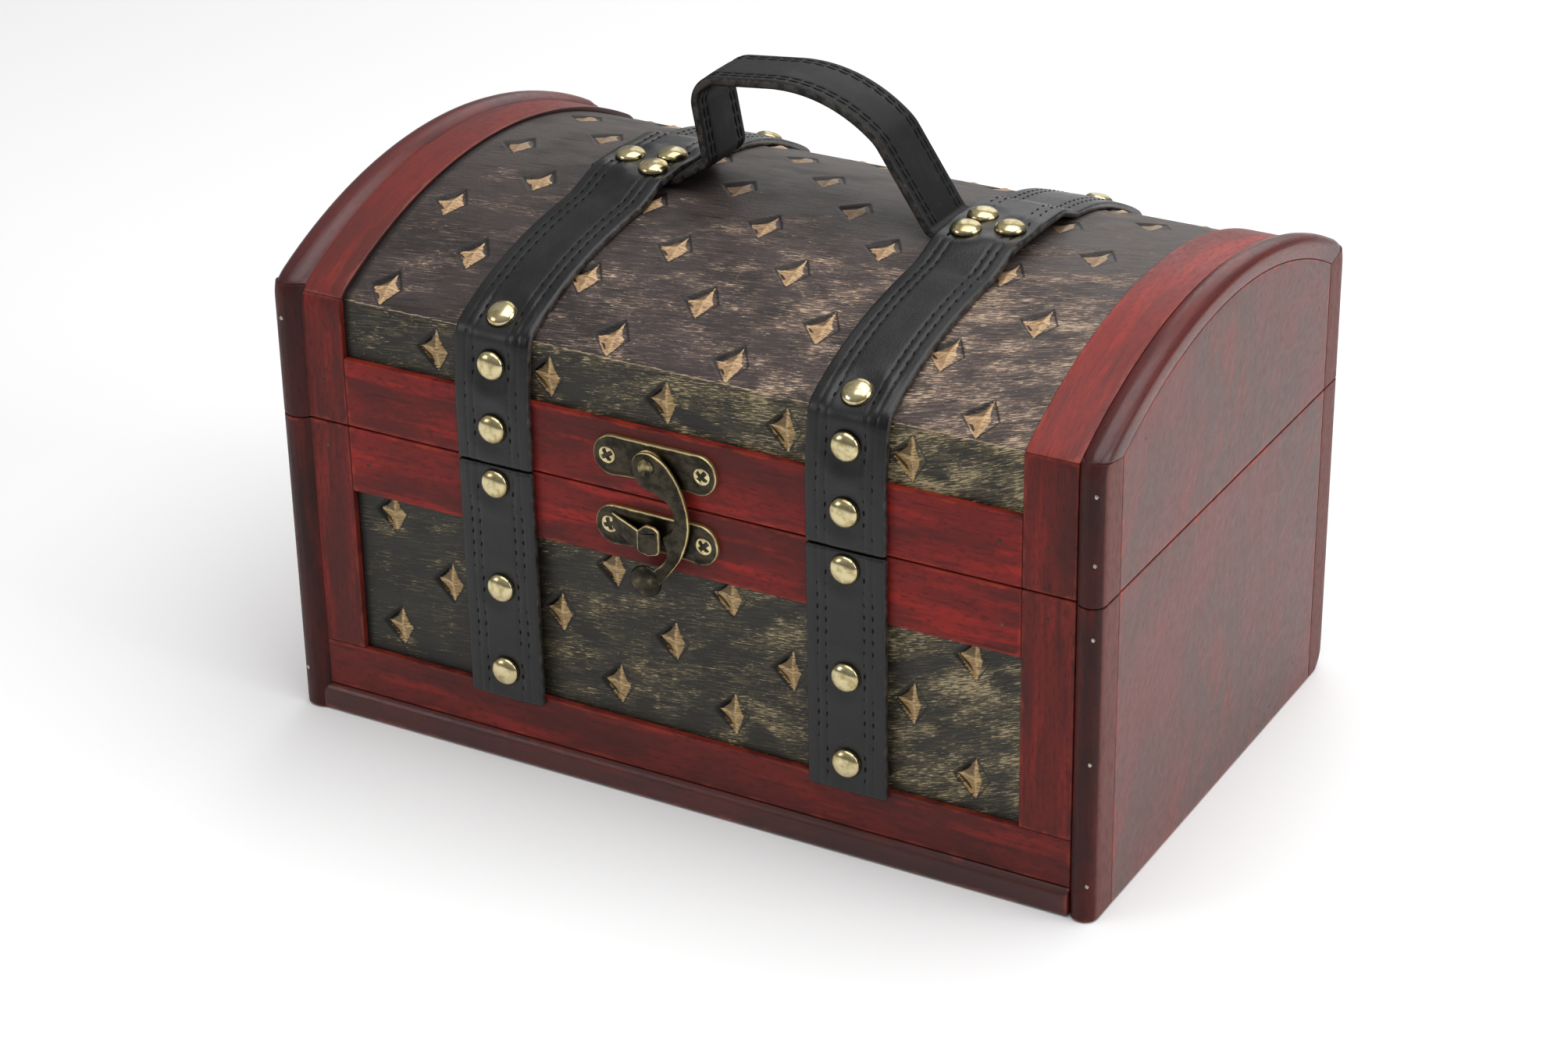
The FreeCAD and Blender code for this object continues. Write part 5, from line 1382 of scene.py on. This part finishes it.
# %% Turned shapes and nails
STUD_AROUND, DOME_RINGS, STUD_RADIUS, STUD_HEIGHT, STUD_RIM = 28, 8, 5.25, 2.8, 0.2
DOME_SHARE, DOME_FULL, DOME_FOOT, DOME_TIP = 0.97, 0.85, 0.25, 0.15
NAIL_RADIUS, NAIL_LENGTH, ROLLED = 0.8, 6.0, 0.5


def turned(profile, around, edge=None):
    """Rings of a turned shape: each (radius, height) of the profile becomes a circle about the third
    axis. Unless told otherwise, a ring lies as far from an edge as it is narrower than the first."""
    profile = np.asarray(profile, float)
    angle = np.linspace(0, 2 * math.pi, around + 1)[:-1]
    radius, height = profile[:, :1], profile[:, 1:]
    rings = np.stack((radius * np.cos(angle), radius * np.sin(angle), height + 0 * angle), axis=-1)
    from_edge = profile[0, 0] - profile[:, 0] if edge is None else np.broadcast_to(edge, len(profile))
    return loft(rings, edge=np.repeat(from_edge, around))


def frames(normals):
    """Three axes for each normal: two across it and the normal itself."""
    normals = np.asarray(normals, float)
    side = np.tile(RIGHTWARD, (len(normals), 1))
    side = unit_rows(side - (side * normals).sum(axis=1)[:, None] * normals)
    return np.stack((side, np.cross(normals, side), normals), axis=1)


curve = np.linspace(0, math.pi / 2, DOME_RINGS + 1)[:-1]
dome = np.column_stack((STUD_RADIUS * DOME_SHARE * np.cos(curve) ** DOME_FULL,
                        DOME_FOOT + (STUD_HEIGHT - DOME_FOOT) * np.sin(curve)))
stud_profile = np.vstack(((NAIL_RADIUS, -NAIL_LENGTH), (NAIL_RADIUS, -STUD_RIM),
                          (STUD_RADIUS - ROLLED, -STUD_RIM), (STUD_RADIUS, 0.0),
                          (STUD_RADIUS, STUD_RIM), dome, (DOME_TIP, STUD_HEIGHT)))
stud = turned(stud_profile, STUD_AROUND, STUD_RADIUS - stud_profile[:, 0])
for body, places in nail_spots.items():
    piece(f"{body}_studs_brass", [scattered(stud, places, frames(leans[body]))], brass, [f"{body}_studs"])
print(sum(map(len, nail_spots.values())), "domed nails of", len(stud.quads), "faces")

# %% [markdown]
# ## The blackened latch
#
# The latch is a cheap and sturdy kind: two stamped plates, a hook that swings on a rivet, and a tongue
# bent out of the lower plate for the hook's tooth. The metal was blackened and then rubbed, so the brass
# shows again along every edge. That is why each shape marks its distance to the edge: the finish only
# has to read it.

# %% Blackened brass material
# Blackened brass: brown-black and half dull, with brass showing through in specks and along edges.
bronze, tree, shader = start_material("blackened_rubbed_brass", Metallic=1.0)
grain, edge = read_marks(tree)
fields = patterns(tree, grain, (("clouds", (4.0, 4.0, 4.0), 4.0), ("specks", (0.5, 0.5, 0.5), 2.0)))
colour = layer(tree, srgb("#433d33"), srgb("#2a2823"), fields["clouds"], 0.4, 0.65)
colour = layer(tree, colour, srgb("#7a6c4a"), fields["specks"], 0.62, 0.8, 0.5)
ragged = add(tree, "ShaderNodeMath", {0: fields["clouds"], 1: 0.9, 2: edge}, operation="MULTIPLY_ADD")
colour = layer(tree, colour, srgb("#d3c08a"), ragged.outputs[0], 1.02, 0.6, 0.9)
finish_surface(tree, shader, colour, (fields["clouds"], 0.30, 0.46), (fields["specks"], 0.12, 0.2))
print("latch:", bronze.name)

# %% Stamped plates


def arc_between(start, end, radius, side, count):
    """Points on a circle from start towards end, without end; its centre lies left (1) or right (-1) of
    the way."""
    start, end = np.asarray(start, float), np.asarray(end, float)
    half = (end - start) / 2
    quarter = np.array((-half[1], half[0])) / np.linalg.norm(half)
    centre = start + half + side * quarter * math.sqrt(max(radius ** 2 - half @ half, 0))
    first, last = [math.atan2(*(point - centre)[::-1]) for point in (start, end)]
    sweep = (last - first) % (side * 2 * math.pi)
    angle = first + np.linspace(0, sweep, count + 1)[:-1]
    return centre + radius * np.column_stack((np.cos(angle), np.sin(angle)))


def inset(ring, distance):
    """A closed outline, moved inwards along the normals of its corners."""
    after, before = np.roll(ring, -1, axis=0), np.roll(ring, 1, axis=0)
    ahead = unit_rows(after - before)
    turned_left = np.sign(np.sum(ring[:, 0] * after[:, 1] - ring[:, 1] * after[:, 0]))
    return ring + distance * turned_left * np.column_stack((-ahead[:, 1], ahead[:, 0]))


def stamped(ring, profile, face):
    """A stamped plate: the outline (x, z) at each (inset, height) of a profile, out from the plane
    y = -face."""
    rings = [np.insert(inset(ring, step), 1, -face - height, axis=1) for step, height in profile]
    return loft(rings, edge=np.repeat([step for step, height in profile], len(ring)))


half_circle = arc_between((0, 1), (0, -1), 1, 1, 2)
print("a half circle from [0, 1] to [0, -1] passes", half_circle[1].round(2).tolist())

# %% Ribbons
RIBBON_MIDDLE, RIBBON_POINTS = np.array((0.25, 0.5, 0.75)), 4
LOW_WEAR_SHADE, HIGH_WEAR_HIGHLIGHT = 0.3, -0.05


def ribbon(low, high, lean, thick, round_edge, worn=(LOW_WEAR_SHADE, HIGH_WEAR_HIGHLIGHT)):
    """A flat bar between two lines: each ring is a rounded section from low to high, thick along lean.

    A section's point is a share of the way from low to high, plus an offset in millimetres, plus a
    height. worn makes the low and the high edge count as further from an edge, or nearer to it, than
    they are: where that shows less brass it is a painted shade, and where more, a painted highlight."""
    turn, flat = np.linspace(0, math.pi / 2, RIBBON_POINTS), np.zeros(len(RIBBON_MIDDLE))
    start = np.zeros(2 * RIBBON_POINTS)
    near, rise = round_edge * (1 - np.sin(turn)), round_edge * (1 - np.cos(turn))
    offset = np.concatenate((near, near[::-1], flat, -near, -near[::-1], flat))
    height = np.concatenate((rise, (thick - rise)[::-1], flat + thick, thick - rise, rise[::-1], flat))
    share = np.concatenate((start, RIBBON_MIDDLE, start + 1, RIBBON_MIDDLE[::-1]))
    span = high - low
    width = np.linalg.norm(span, axis=1)[:, None]
    across = share * width + offset
    rings = low[:, None] + (across / width)[..., None] * span[:, None] + height[None, :, None] * lean
    return loft(rings, edge=np.minimum(across + worn[0], width - across + worn[1]))


print("a ribbon's ring has", 4 * RIBBON_POINTS + 2 * len(RIBBON_MIDDLE), "points")

# %% Latch plate
plate_low, plate_high = corners("latch_plate")
LATCH_Z, CATCH_Z = 123.0, 98.6
PLATE_HALF, PLATE_HOLLOW, PLATE_STEP, END_POINTS, HOLLOW_POINTS = 7.0, 0.9, 1.0, 26, 30
PLATE_PROFILE = ((0.0, 0.0), (0.0, 1.1), (0.12, 1.45), (0.4, 1.68), (0.75, 1.75), (1.1, 1.66),
                 (1.5, 1.5), (2.2, 1.45), (3.5, 1.45))
PIVOT_X, COLLAR_FOOT = -5.8, 1.2
COLLAR_PROFILE = ((5.0, 0.0), (5.0, 0.9), (4.7, 1.1), (0.2, 1.1))


def plate_ring(middle):
    """Outline of a plate: two round ends, a straight upper edge and a slightly hollow lower one."""
    left, right = plate_low[0] + PLATE_HALF, plate_high[0] - PLATE_HALF
    top, bottom = middle + PLATE_HALF, middle - PLATE_HALF
    sag = ((right - left) ** 2 / (8 * PLATE_HOLLOW)) + PLATE_HOLLOW / 2
    return np.vstack((straight(np.array((right, top)), np.array((left, top)), PLATE_STEP),
                      arc_between((left, top), (left, bottom), PLATE_HALF, 1, END_POINTS),
                      arc_between((left, bottom), (right, bottom), sag, -1, HOLLOW_POINTS),
                      arc_between((right, bottom), (right, top), PLATE_HALF, 1, END_POINTS)))


plate = stamped(plate_ring(LATCH_Z), PLATE_PROFILE, trim_face)
collar_spot = (PIVOT_X, -trim_face - COLLAR_FOOT, LATCH_Z)
collar = scattered(turned(COLLAR_PROFILE, around=40), [collar_spot], frames([FRONTWARD]))
piece("latch_plate_stamped", [plate, collar], bronze, ["latch_plate"])
print("latch plate", round(plate_high[0] - plate_low[0], 1), "mm wide")

# %% Catch plate and its tongue
TAB = [(-9.4, 93.2), (-5.4, 92.4), (-1.2, 93.6), (-1.2, 101.6), (-3.0, 102.9), (-6.2, 103.2),
       (-9.3, 100.6)]
TAB_BENDS, TAB_STEP = (1.6, 2.5, 1.6, 1.0, 2.0, 1.6, 1.2), 0.5
TAB_PROFILE = ((0.3, 0.0), (0.0, 0.25), (0.0, 0.9), (0.2, 1.2), (0.6, 1.3), (1.6, 1.35))
TAB_OUT, ROOT_OUT, TIP_OUT = 4.0, 1.0, 4.1
TONGUE_LOW, TONGUE_HIGH = ((-20.0, 97.5), (-8.6, 93.2)), ((-20.2, 103.0), (-8.8, 100.7))
TONGUE_THICK, TONGUE_ROUND, TONGUE_RINGS = 1.1, 0.35, 9


def tongue_edge(root, tip):
    """A straight edge of the tongue, from its root (x, z) at the plate to its tip out in front."""
    share = np.linspace(0, 1, TONGUE_RINGS)[:, None]
    start, end = (root[0], -trim_face - ROOT_OUT, root[1]), (tip[0], -trim_face - TIP_OUT, tip[1])
    return (1 - share) * start + share * end


tab = stamped(outline(TAB, TAB_BENDS, TAB_STEP), TAB_PROFILE, trim_face + TAB_OUT)
tongue = ribbon(tongue_edge(*TONGUE_LOW), tongue_edge(*TONGUE_HIGH), FRONTWARD,
                TONGUE_THICK, TONGUE_ROUND)
plate = stamped(plate_ring(CATCH_Z), PLATE_PROFILE, trim_face)
piece("catch_plate_stamped", [plate, tongue, tab], bronze, ["catch_plate"])
print("tongue stands", TIP_OUT, "mm in front of the rail")

# %% [markdown]
# The hook is a flat blade between two given lines. Its tooth points at the tongue, and its tail
# comes forward in an S to a round finger knob.

# %% Swing hook
HOOK_BACK, HOOK_THICK, HOOK_ROUND = 94.95, 1.4, 0.42
INNER = [(-10.9, 121.7), (-10.6, 120.2), (-9.9, 118.2), (-8.6, 116.3), (-6.4, 115.2), (-3.0, 114.4),
         (0.3, 112.9), (2.6, 111.0), (3.5, 109.0), (3.85, 106.4), (3.7, 103.8), (2.4, 101.6),
         (-0.9, 99.5), (-0.3, 97.3), (0.8, 95.3), (0.9, 93.4), (0.3, 91.4), (-1.6, 89.3),
         (-4.0, 87.4), (-6.2, 86.4)]
OUTER = [(-10.9, 123.9), (-10.5, 125.2), (-9.5, 126.7), (-7.8, 127.8), (-5.4, 128.1), (-2.2, 127.3),
         (1.6, 124.9), (5.2, 120.0), (7.4, 115.0), (8.7, 110.0), (9.2, 106.0), (9.0, 103.0),
         (8.5, 100.6), (7.9, 98.5), (7.0, 95.5), (5.8, 93.0), (4.5, 90.8), (2.6, 88.0),
         (0.3, 84.9), (-2.2, 81.8)]
EASE_COUNT, INNER_EASE, OUTER_EASE = 6, 4, 6
TAIL_FORWARD, TAIL_START, TAIL_LENGTH = 2.4, 93.5, 8.0
TAIL_LOW_WEAR_HIGHLIGHT, TAIL_HIGH_WEAR_SHADE = -0.1, 0.45
KNOB_RADIUS, KNOB_HALF, KNOB_FULL, KNOB_EDGE, POLE_GAP = 5.7, 1.6, 0.7, 0.6, 0.05
KNOB_RINGS, KNOB_AROUND = 15, 36
KNOB_PLACE = (-6.2, -98.0, 83.6)
KNOB_AXES = ((1.0, 0.0, 0.1), (-0.1, 0.0, 0.96), (0.0, -1.0, 0.0))


def eased(points, count, reach):
    """A smooth line through rough points: each step gets count points, then corners are eased."""
    points = np.asarray(points, float)
    at = np.linspace(0, len(points) - 1, (len(points) - 1) * count + 1)
    return smooth(read_line(points, np.arange(len(points)), at), reach)


def tail_share(z):
    """How far down the tail a height lies: 0 on the blade, 1 at the tail's end."""
    return np.clip((TAIL_START - z) / TAIL_LENGTH, 0, 1)


def in_front(line):
    """Points (x, z) of the hook in space: the tail comes forward in an S from where the blade ends."""
    share = tail_share(line[:, 1])
    forward = TAIL_FORWARD * share ** 2 * (3 - 2 * share)
    return np.column_stack((line[:, 0], -HOOK_BACK - forward, line[:, 1]))


inner_line = in_front(eased(INNER, EASE_COUNT, INNER_EASE))
outer_line = in_front(eased(OUTER, EASE_COUNT, OUTER_EASE))
on_tail = tail_share(inner_line[:, 2:])
# On the blade the high edge gets a painted highlight and the low edge a painted shade; the tail twists,
# so there the two swap.
worn_and_lit_edges = (LOW_WEAR_SHADE + (TAIL_LOW_WEAR_HIGHLIGHT - LOW_WEAR_SHADE) * on_tail,
                HIGH_WEAR_HIGHLIGHT + (TAIL_HIGH_WEAR_SHADE - HIGH_WEAR_HIGHLIGHT) * on_tail)
blade = ribbon(inner_line, outer_line, FRONTWARD, HOOK_THICK, HOOK_ROUND, worn_and_lit_edges)
curve = np.linspace(-math.pi / 2 + POLE_GAP, math.pi / 2 - POLE_GAP, KNOB_RINGS)
knob_profile = np.column_stack((KNOB_RADIUS * np.cos(curve) ** KNOB_FULL, KNOB_HALF * np.sin(curve)))
knob = scattered(turned(knob_profile, KNOB_AROUND, KNOB_EDGE), [KNOB_PLACE], [KNOB_AXES])
piece("latch_hook_swing", [blade, knob], bronze, ["latch_hook"])
print("hook blade:", len(blade.quads), "faces")

# %% Rivet
RIVET_PROFILE = ((2.0, -1.4), (2.0, -0.1), (2.9, 0.0), (2.9, 0.25), (2.6, 0.5), (2.2, 0.42), (2.05, 0.36),
                 (1.9, 0.5), (1.2, 0.58), (0.15, 0.6))
RIVET_EDGE, RIVET_OUT = 0.46, 0.05
rivet_spot = (PIVOT_X, -HOOK_BACK - HOOK_THICK - RIVET_OUT, LATCH_Z)
rivet = turned(RIVET_PROFILE, around=36, edge=RIVET_EDGE)
rivet = scattered(rivet, [rivet_spot], frames([FRONTWARD]))
piece("latch_rivet_head", [rivet], bronze, ["latch_rivet"])
print("rivet at", np.round(rivet_spot, 2))

# %% Cross-headed screws
SCREW_RADIUS, SCREW_HEIGHT, SCREW_SHANK, SCREW_LENGTH = 2.9, 0.5, 1.2, 5.0
HEAD_UNDER, HEAD_ROLL, HEAD_TIP, HEAD_CURVE = 0.1, 0.3, 0.12, 0.85
HEAD_RINGS, HEAD_AROUND = 22, 48
CROSS_HALF, CROSS_ARM, CROSS_WALL, CROSS_RAMP, CROSS_DEEP = 0.72, 2.3, 0.14, 0.5, 1.0
SCREW_WORN, SLOT_SHADE = 0.25, 0.3


def cross_screw():
    """A low round head with a cross sunk in it: two slots that get shallower to their ends."""
    top = np.linspace(SCREW_RADIUS, HEAD_TIP, HEAD_RINGS)
    radius = np.concatenate(((SCREW_SHANK, SCREW_SHANK, SCREW_RADIUS - HEAD_ROLL), top))
    dome = SCREW_HEIGHT * np.sqrt(1 - HEAD_CURVE * (top / SCREW_RADIUS) ** 2)
    height = np.concatenate(((-SCREW_LENGTH, -HEAD_UNDER, -HEAD_UNDER), dome))
    head = turned(np.column_stack((radius, height)), HEAD_AROUND)
    points = head.points.copy()
    x, y = np.abs(points[:, 0]), np.abs(points[:, 1])
    walls = [np.clip((CROSS_HALF - beside) / CROSS_WALL, 0, 1) for beside in (y, x)]
    ramps = [np.clip((CROSS_ARM - along) / CROSS_RAMP, 0, 1) for along in (x, y)]
    slot = np.maximum(walls[0] * ramps[0], walls[1] * ramps[1])
    slot = np.where(points[:, 2] > 0, slot, 0)
    points[:, 2] -= CROSS_DEEP * slot
    # The cross counts as an edge, so the brass paints it near-black: painted shade in the slots.
    edge = np.where(slot > SLOT_SHADE, 0.0, SCREW_RADIUS - np.hypot(x, y) + SCREW_WORN)
    return head._replace(points=points, edge=edge)


SCREW_X, SCREW_OUT = (-21.5, 13.1), 1.4
SCREW_TURNS = {"latch": (0.55, 0.9), "catch": (0.35, 0.75)}
screw = cross_screw()
side, rise, outward = frames([FRONTWARD])[0]
for part, z in (("latch", LATCH_Z), ("catch", CATCH_Z)):
    spots = [(x, -trim_face - SCREW_OUT, z) for x in SCREW_X]
    axes = [(math.cos(turn) * side + math.sin(turn) * rise,
             math.cos(turn) * rise - math.sin(turn) * side, outward) for turn in SCREW_TURNS[part]]
    piece(f"{part}_screw_heads", [scattered(screw, spots, axes)], brass, [f"{part}_screws"])
print("a screw has", len(screw.quads), "faces")

# %% [markdown]
# ## Hinges
#
# Two plain butt hinges hold the lid at the back. Their leaves and pins keep the frame's own shapes, which
# are right as they are, and only get a dark metal. Their screws are the same as the latch's.

# %% Hinges on the back
HINGE_SCREW_X, HINGE_SCREW_Z, LEAF_THICK = (86.0, 96.0), {"lid": 118.4, "base": 101.6}, 1.2
leaf_face = corners("hinge_base_leaves")[0][1] + LEAF_THICK
for part, z in HINGE_SCREW_Z.items():
    spots = [(sign * x, leaf_face, z) for sign in SIDES.values() for x in HINGE_SCREW_X]
    axes = frames([-FRONTWARD] * len(spots))
    piece(f"hinge_{part}_screw_heads", [scattered(screw, spots, axes)], brass, [f"hinge_{part}_screws"])

# Blackened steel: dark and half dull, with bright specks where the black has worn.
hinge_metal, tree, shader = start_material("blackened_hinge_steel", Metallic=1.0, Roughness=0.42)
fields = patterns(tree, read_place(tree), (("clouds", (5.0, 5.0, 5.0), 4.0),
                                           ("specks", (0.6, 0.6, 0.6), 2.0)))
colour = layer(tree, srgb("#57503f"), srgb("#35322b"), fields["clouds"], 0.4, 0.65)
finish_surface(tree, shader, layer(tree, colour, srgb("#9c8a5c"), fields["specks"], 0.62, 0.8, 0.6))
for node in ("hinge_base_leaves", "hinge_lid_leaves", "hinge_pins"):
    dress(node, hinge_metal)
print("hinge screws on a face at", round(leaf_face, 2), "mm")

# %% [markdown]
# ## Small nails in the wood
#
# The edging is held with thin brads. A few of their heads are bright, others were stained with the wood.
# They are low caps, sunk a little into the surface, and they sit where the real ones do.

# %% Bright steel
# Bright steel: small pale dots with dark specks.
steel, tree, shader = start_material("bright_brad_steel", Metallic=1.0, Roughness=0.35)
specks = patterns(tree, read_place(tree), (("specks", (0.5, 0.5, 0.5), 2.0),))["specks"]
finish_surface(tree, shader, layer(tree, srgb("#b9b3a6"), srgb("#6d645a"), specks, 0.4, 0.7))
print("brads:", steel.name)

# %% Brads
CAP_PROFILE = ((0.72, -1.5), (0.72, 0.02), (0.6, 0.1), (0.35, 0.15), (0.05, 0.16))
STAINED_PROFILE = ((0.62, -1.5), (0.62, 0.02), (0.5, 0.05), (0.3, 0.04), (0.05, 0.04))
cap, stained_cap = turned(CAP_PROFILE, around=14), turned(STAINED_PROFILE, around=12)
NOSE_X = 147.6
BRIGHT = {"lid": [(NOSE_X, 147.3), (NOSE_X, 124.6), (-145.0, 145.2)],
          "base": [(NOSE_X, 99.7), (NOSE_X, 56.6), (NOSE_X, 13.1), (-146.2, 14.2)]}
STAINED = {"lid": [(131.6, 125.6), (115.4, 124.4), (-131.6, 125.0)],
           "base": [(131.8, 102.0), (116.5, 96.3), (-131.8, 101.0), (-116.0, 97.0)]}
ON_END = {"lid": [(-65.1, 154.2), (72.7, 142.7)], "base": [(65.2, 13.5), (45.4, 6.7), (35.5, 4.2)]}
RIGHT_AXES = ((0.0, 1.0, 0.0), (0.0, 0.0, 1.0), (1.0, 0.0, 0.0))


def nose(x):
    """Distance of the rounded edging's front from the middle: a half circle as wide as the strip."""
    inside = EDGE_INNER["right" if x > 0 else "left"]
    radius = (half_width - inside) / 2 - NOSE_FLAT
    beside = max(abs(abs(x) - (half_width + inside) / 2) - NOSE_FLAT, 0)
    return half_depth - radius + math.sqrt(radius ** 2 - beside ** 2)


for part in BRIGHT:
    spots = [(x, -nose(x), z) for x, z in BRIGHT[part]]
    heads = scattered(cap, spots, frames([FRONTWARD] * len(spots)))
    piece(f"{part}_bright_brads", [heads], steel, body=part, slot="antique_brass")
    spots = [(x, -trim_face, z) for x, z in STAINED[part]]
    spots_end = [(half_width, y, z) for y, z in ON_END[part]]
    dots = [scattered(stained_cap, spots, frames([FRONTWARD] * len(spots))),
            scattered(stained_cap, spots_end, [RIGHT_AXES] * len(spots_end))]
    piece(f"{part}_stained_brads", dots, hinge_metal, body=part, slot="antique_brass")

# %% [markdown]
# ## Studio
#
# A large pale floor, a soft white surround that is brighter above, and broad lamps from above and from
# the sides give the even light of a product photo.

# %% Floor and surround
FLOOR_HALF, FLOOR_SINK = 6.0, 0.0005
floor_paint, tree, shader = start_material("pale_floor", Roughness=0.7)
shader.inputs["Base Color"].default_value = srgb("#f4f4f4")
floor_mesh = bpy.data.meshes.new("floor")
floor_corners = [(FLOOR_HALF * x, FLOOR_HALF * y, 0) for x, y in ((-1, -1), (1, -1), (1, 1), (-1, 1))]
floor_mesh.from_pydata(floor_corners, [], [(0, 1, 2, 3)])
floor_mesh.materials.append(floor_paint)
floor = bpy.data.objects.new("floor", floor_mesh)
floor.location.z = -FLOOR_SINK
bpy.context.scene.collection.objects.link(floor)

world = bpy.data.worlds.new("soft_surround")
world.use_nodes = True
tree = world.node_tree
height = add(tree, "ShaderNodeTexCoord").outputs["Generated"]
height = add(tree, "ShaderNodeSeparateXYZ", {"Vector": height}).outputs["Z"]
glow = add(tree, "ShaderNodeMapRange", {"Value": height, "From Min": 0.0, "From Max": 0.9,
                                        "To Min": 0.16, "To Max": 0.5})
tree.links.new(glow.outputs["Result"], tree.nodes["Background"].inputs["Strength"])
tree.nodes["Background"].inputs["Color"].default_value = srgb("#ffffff")
bpy.context.scene.world = world
print("floor", 2 * FLOOR_HALF, "m wide")

# %% Lamps
LAMP_TARGET = np.array((0.0, 0.0, 0.1))
LAMPS = (("overhead_softbox", (0.3, 0.0, 1.45), 1.5, 19.0), ("right_softbox", (1.6, 0.1, 0.8), 1.0, 11.0),
         ("front_left_fill", (-1.3, -1.4, 0.9), 0.7, 6.0), ("back_softbox", (-0.3, 1.5, 0.9), 1.2, 5.0))
for name, spot, size, power in LAMPS:
    lamp = bpy.data.lights.new(name, "AREA")
    lamp.size, lamp.energy = size, power
    holder = bpy.data.objects.new(name, lamp)
    away = unit(np.array(spot) - LAMP_TARGET)
    side = unit(np.cross((0.0, 0.0, 1.0), away))
    holder.matrix_world = standing(side, np.cross(away, side), away, spot)
    bpy.context.scene.collection.objects.link(holder)
bpy.context.scene.view_settings.view_transform = "Standard"
print(len(LAMPS), "lamps")
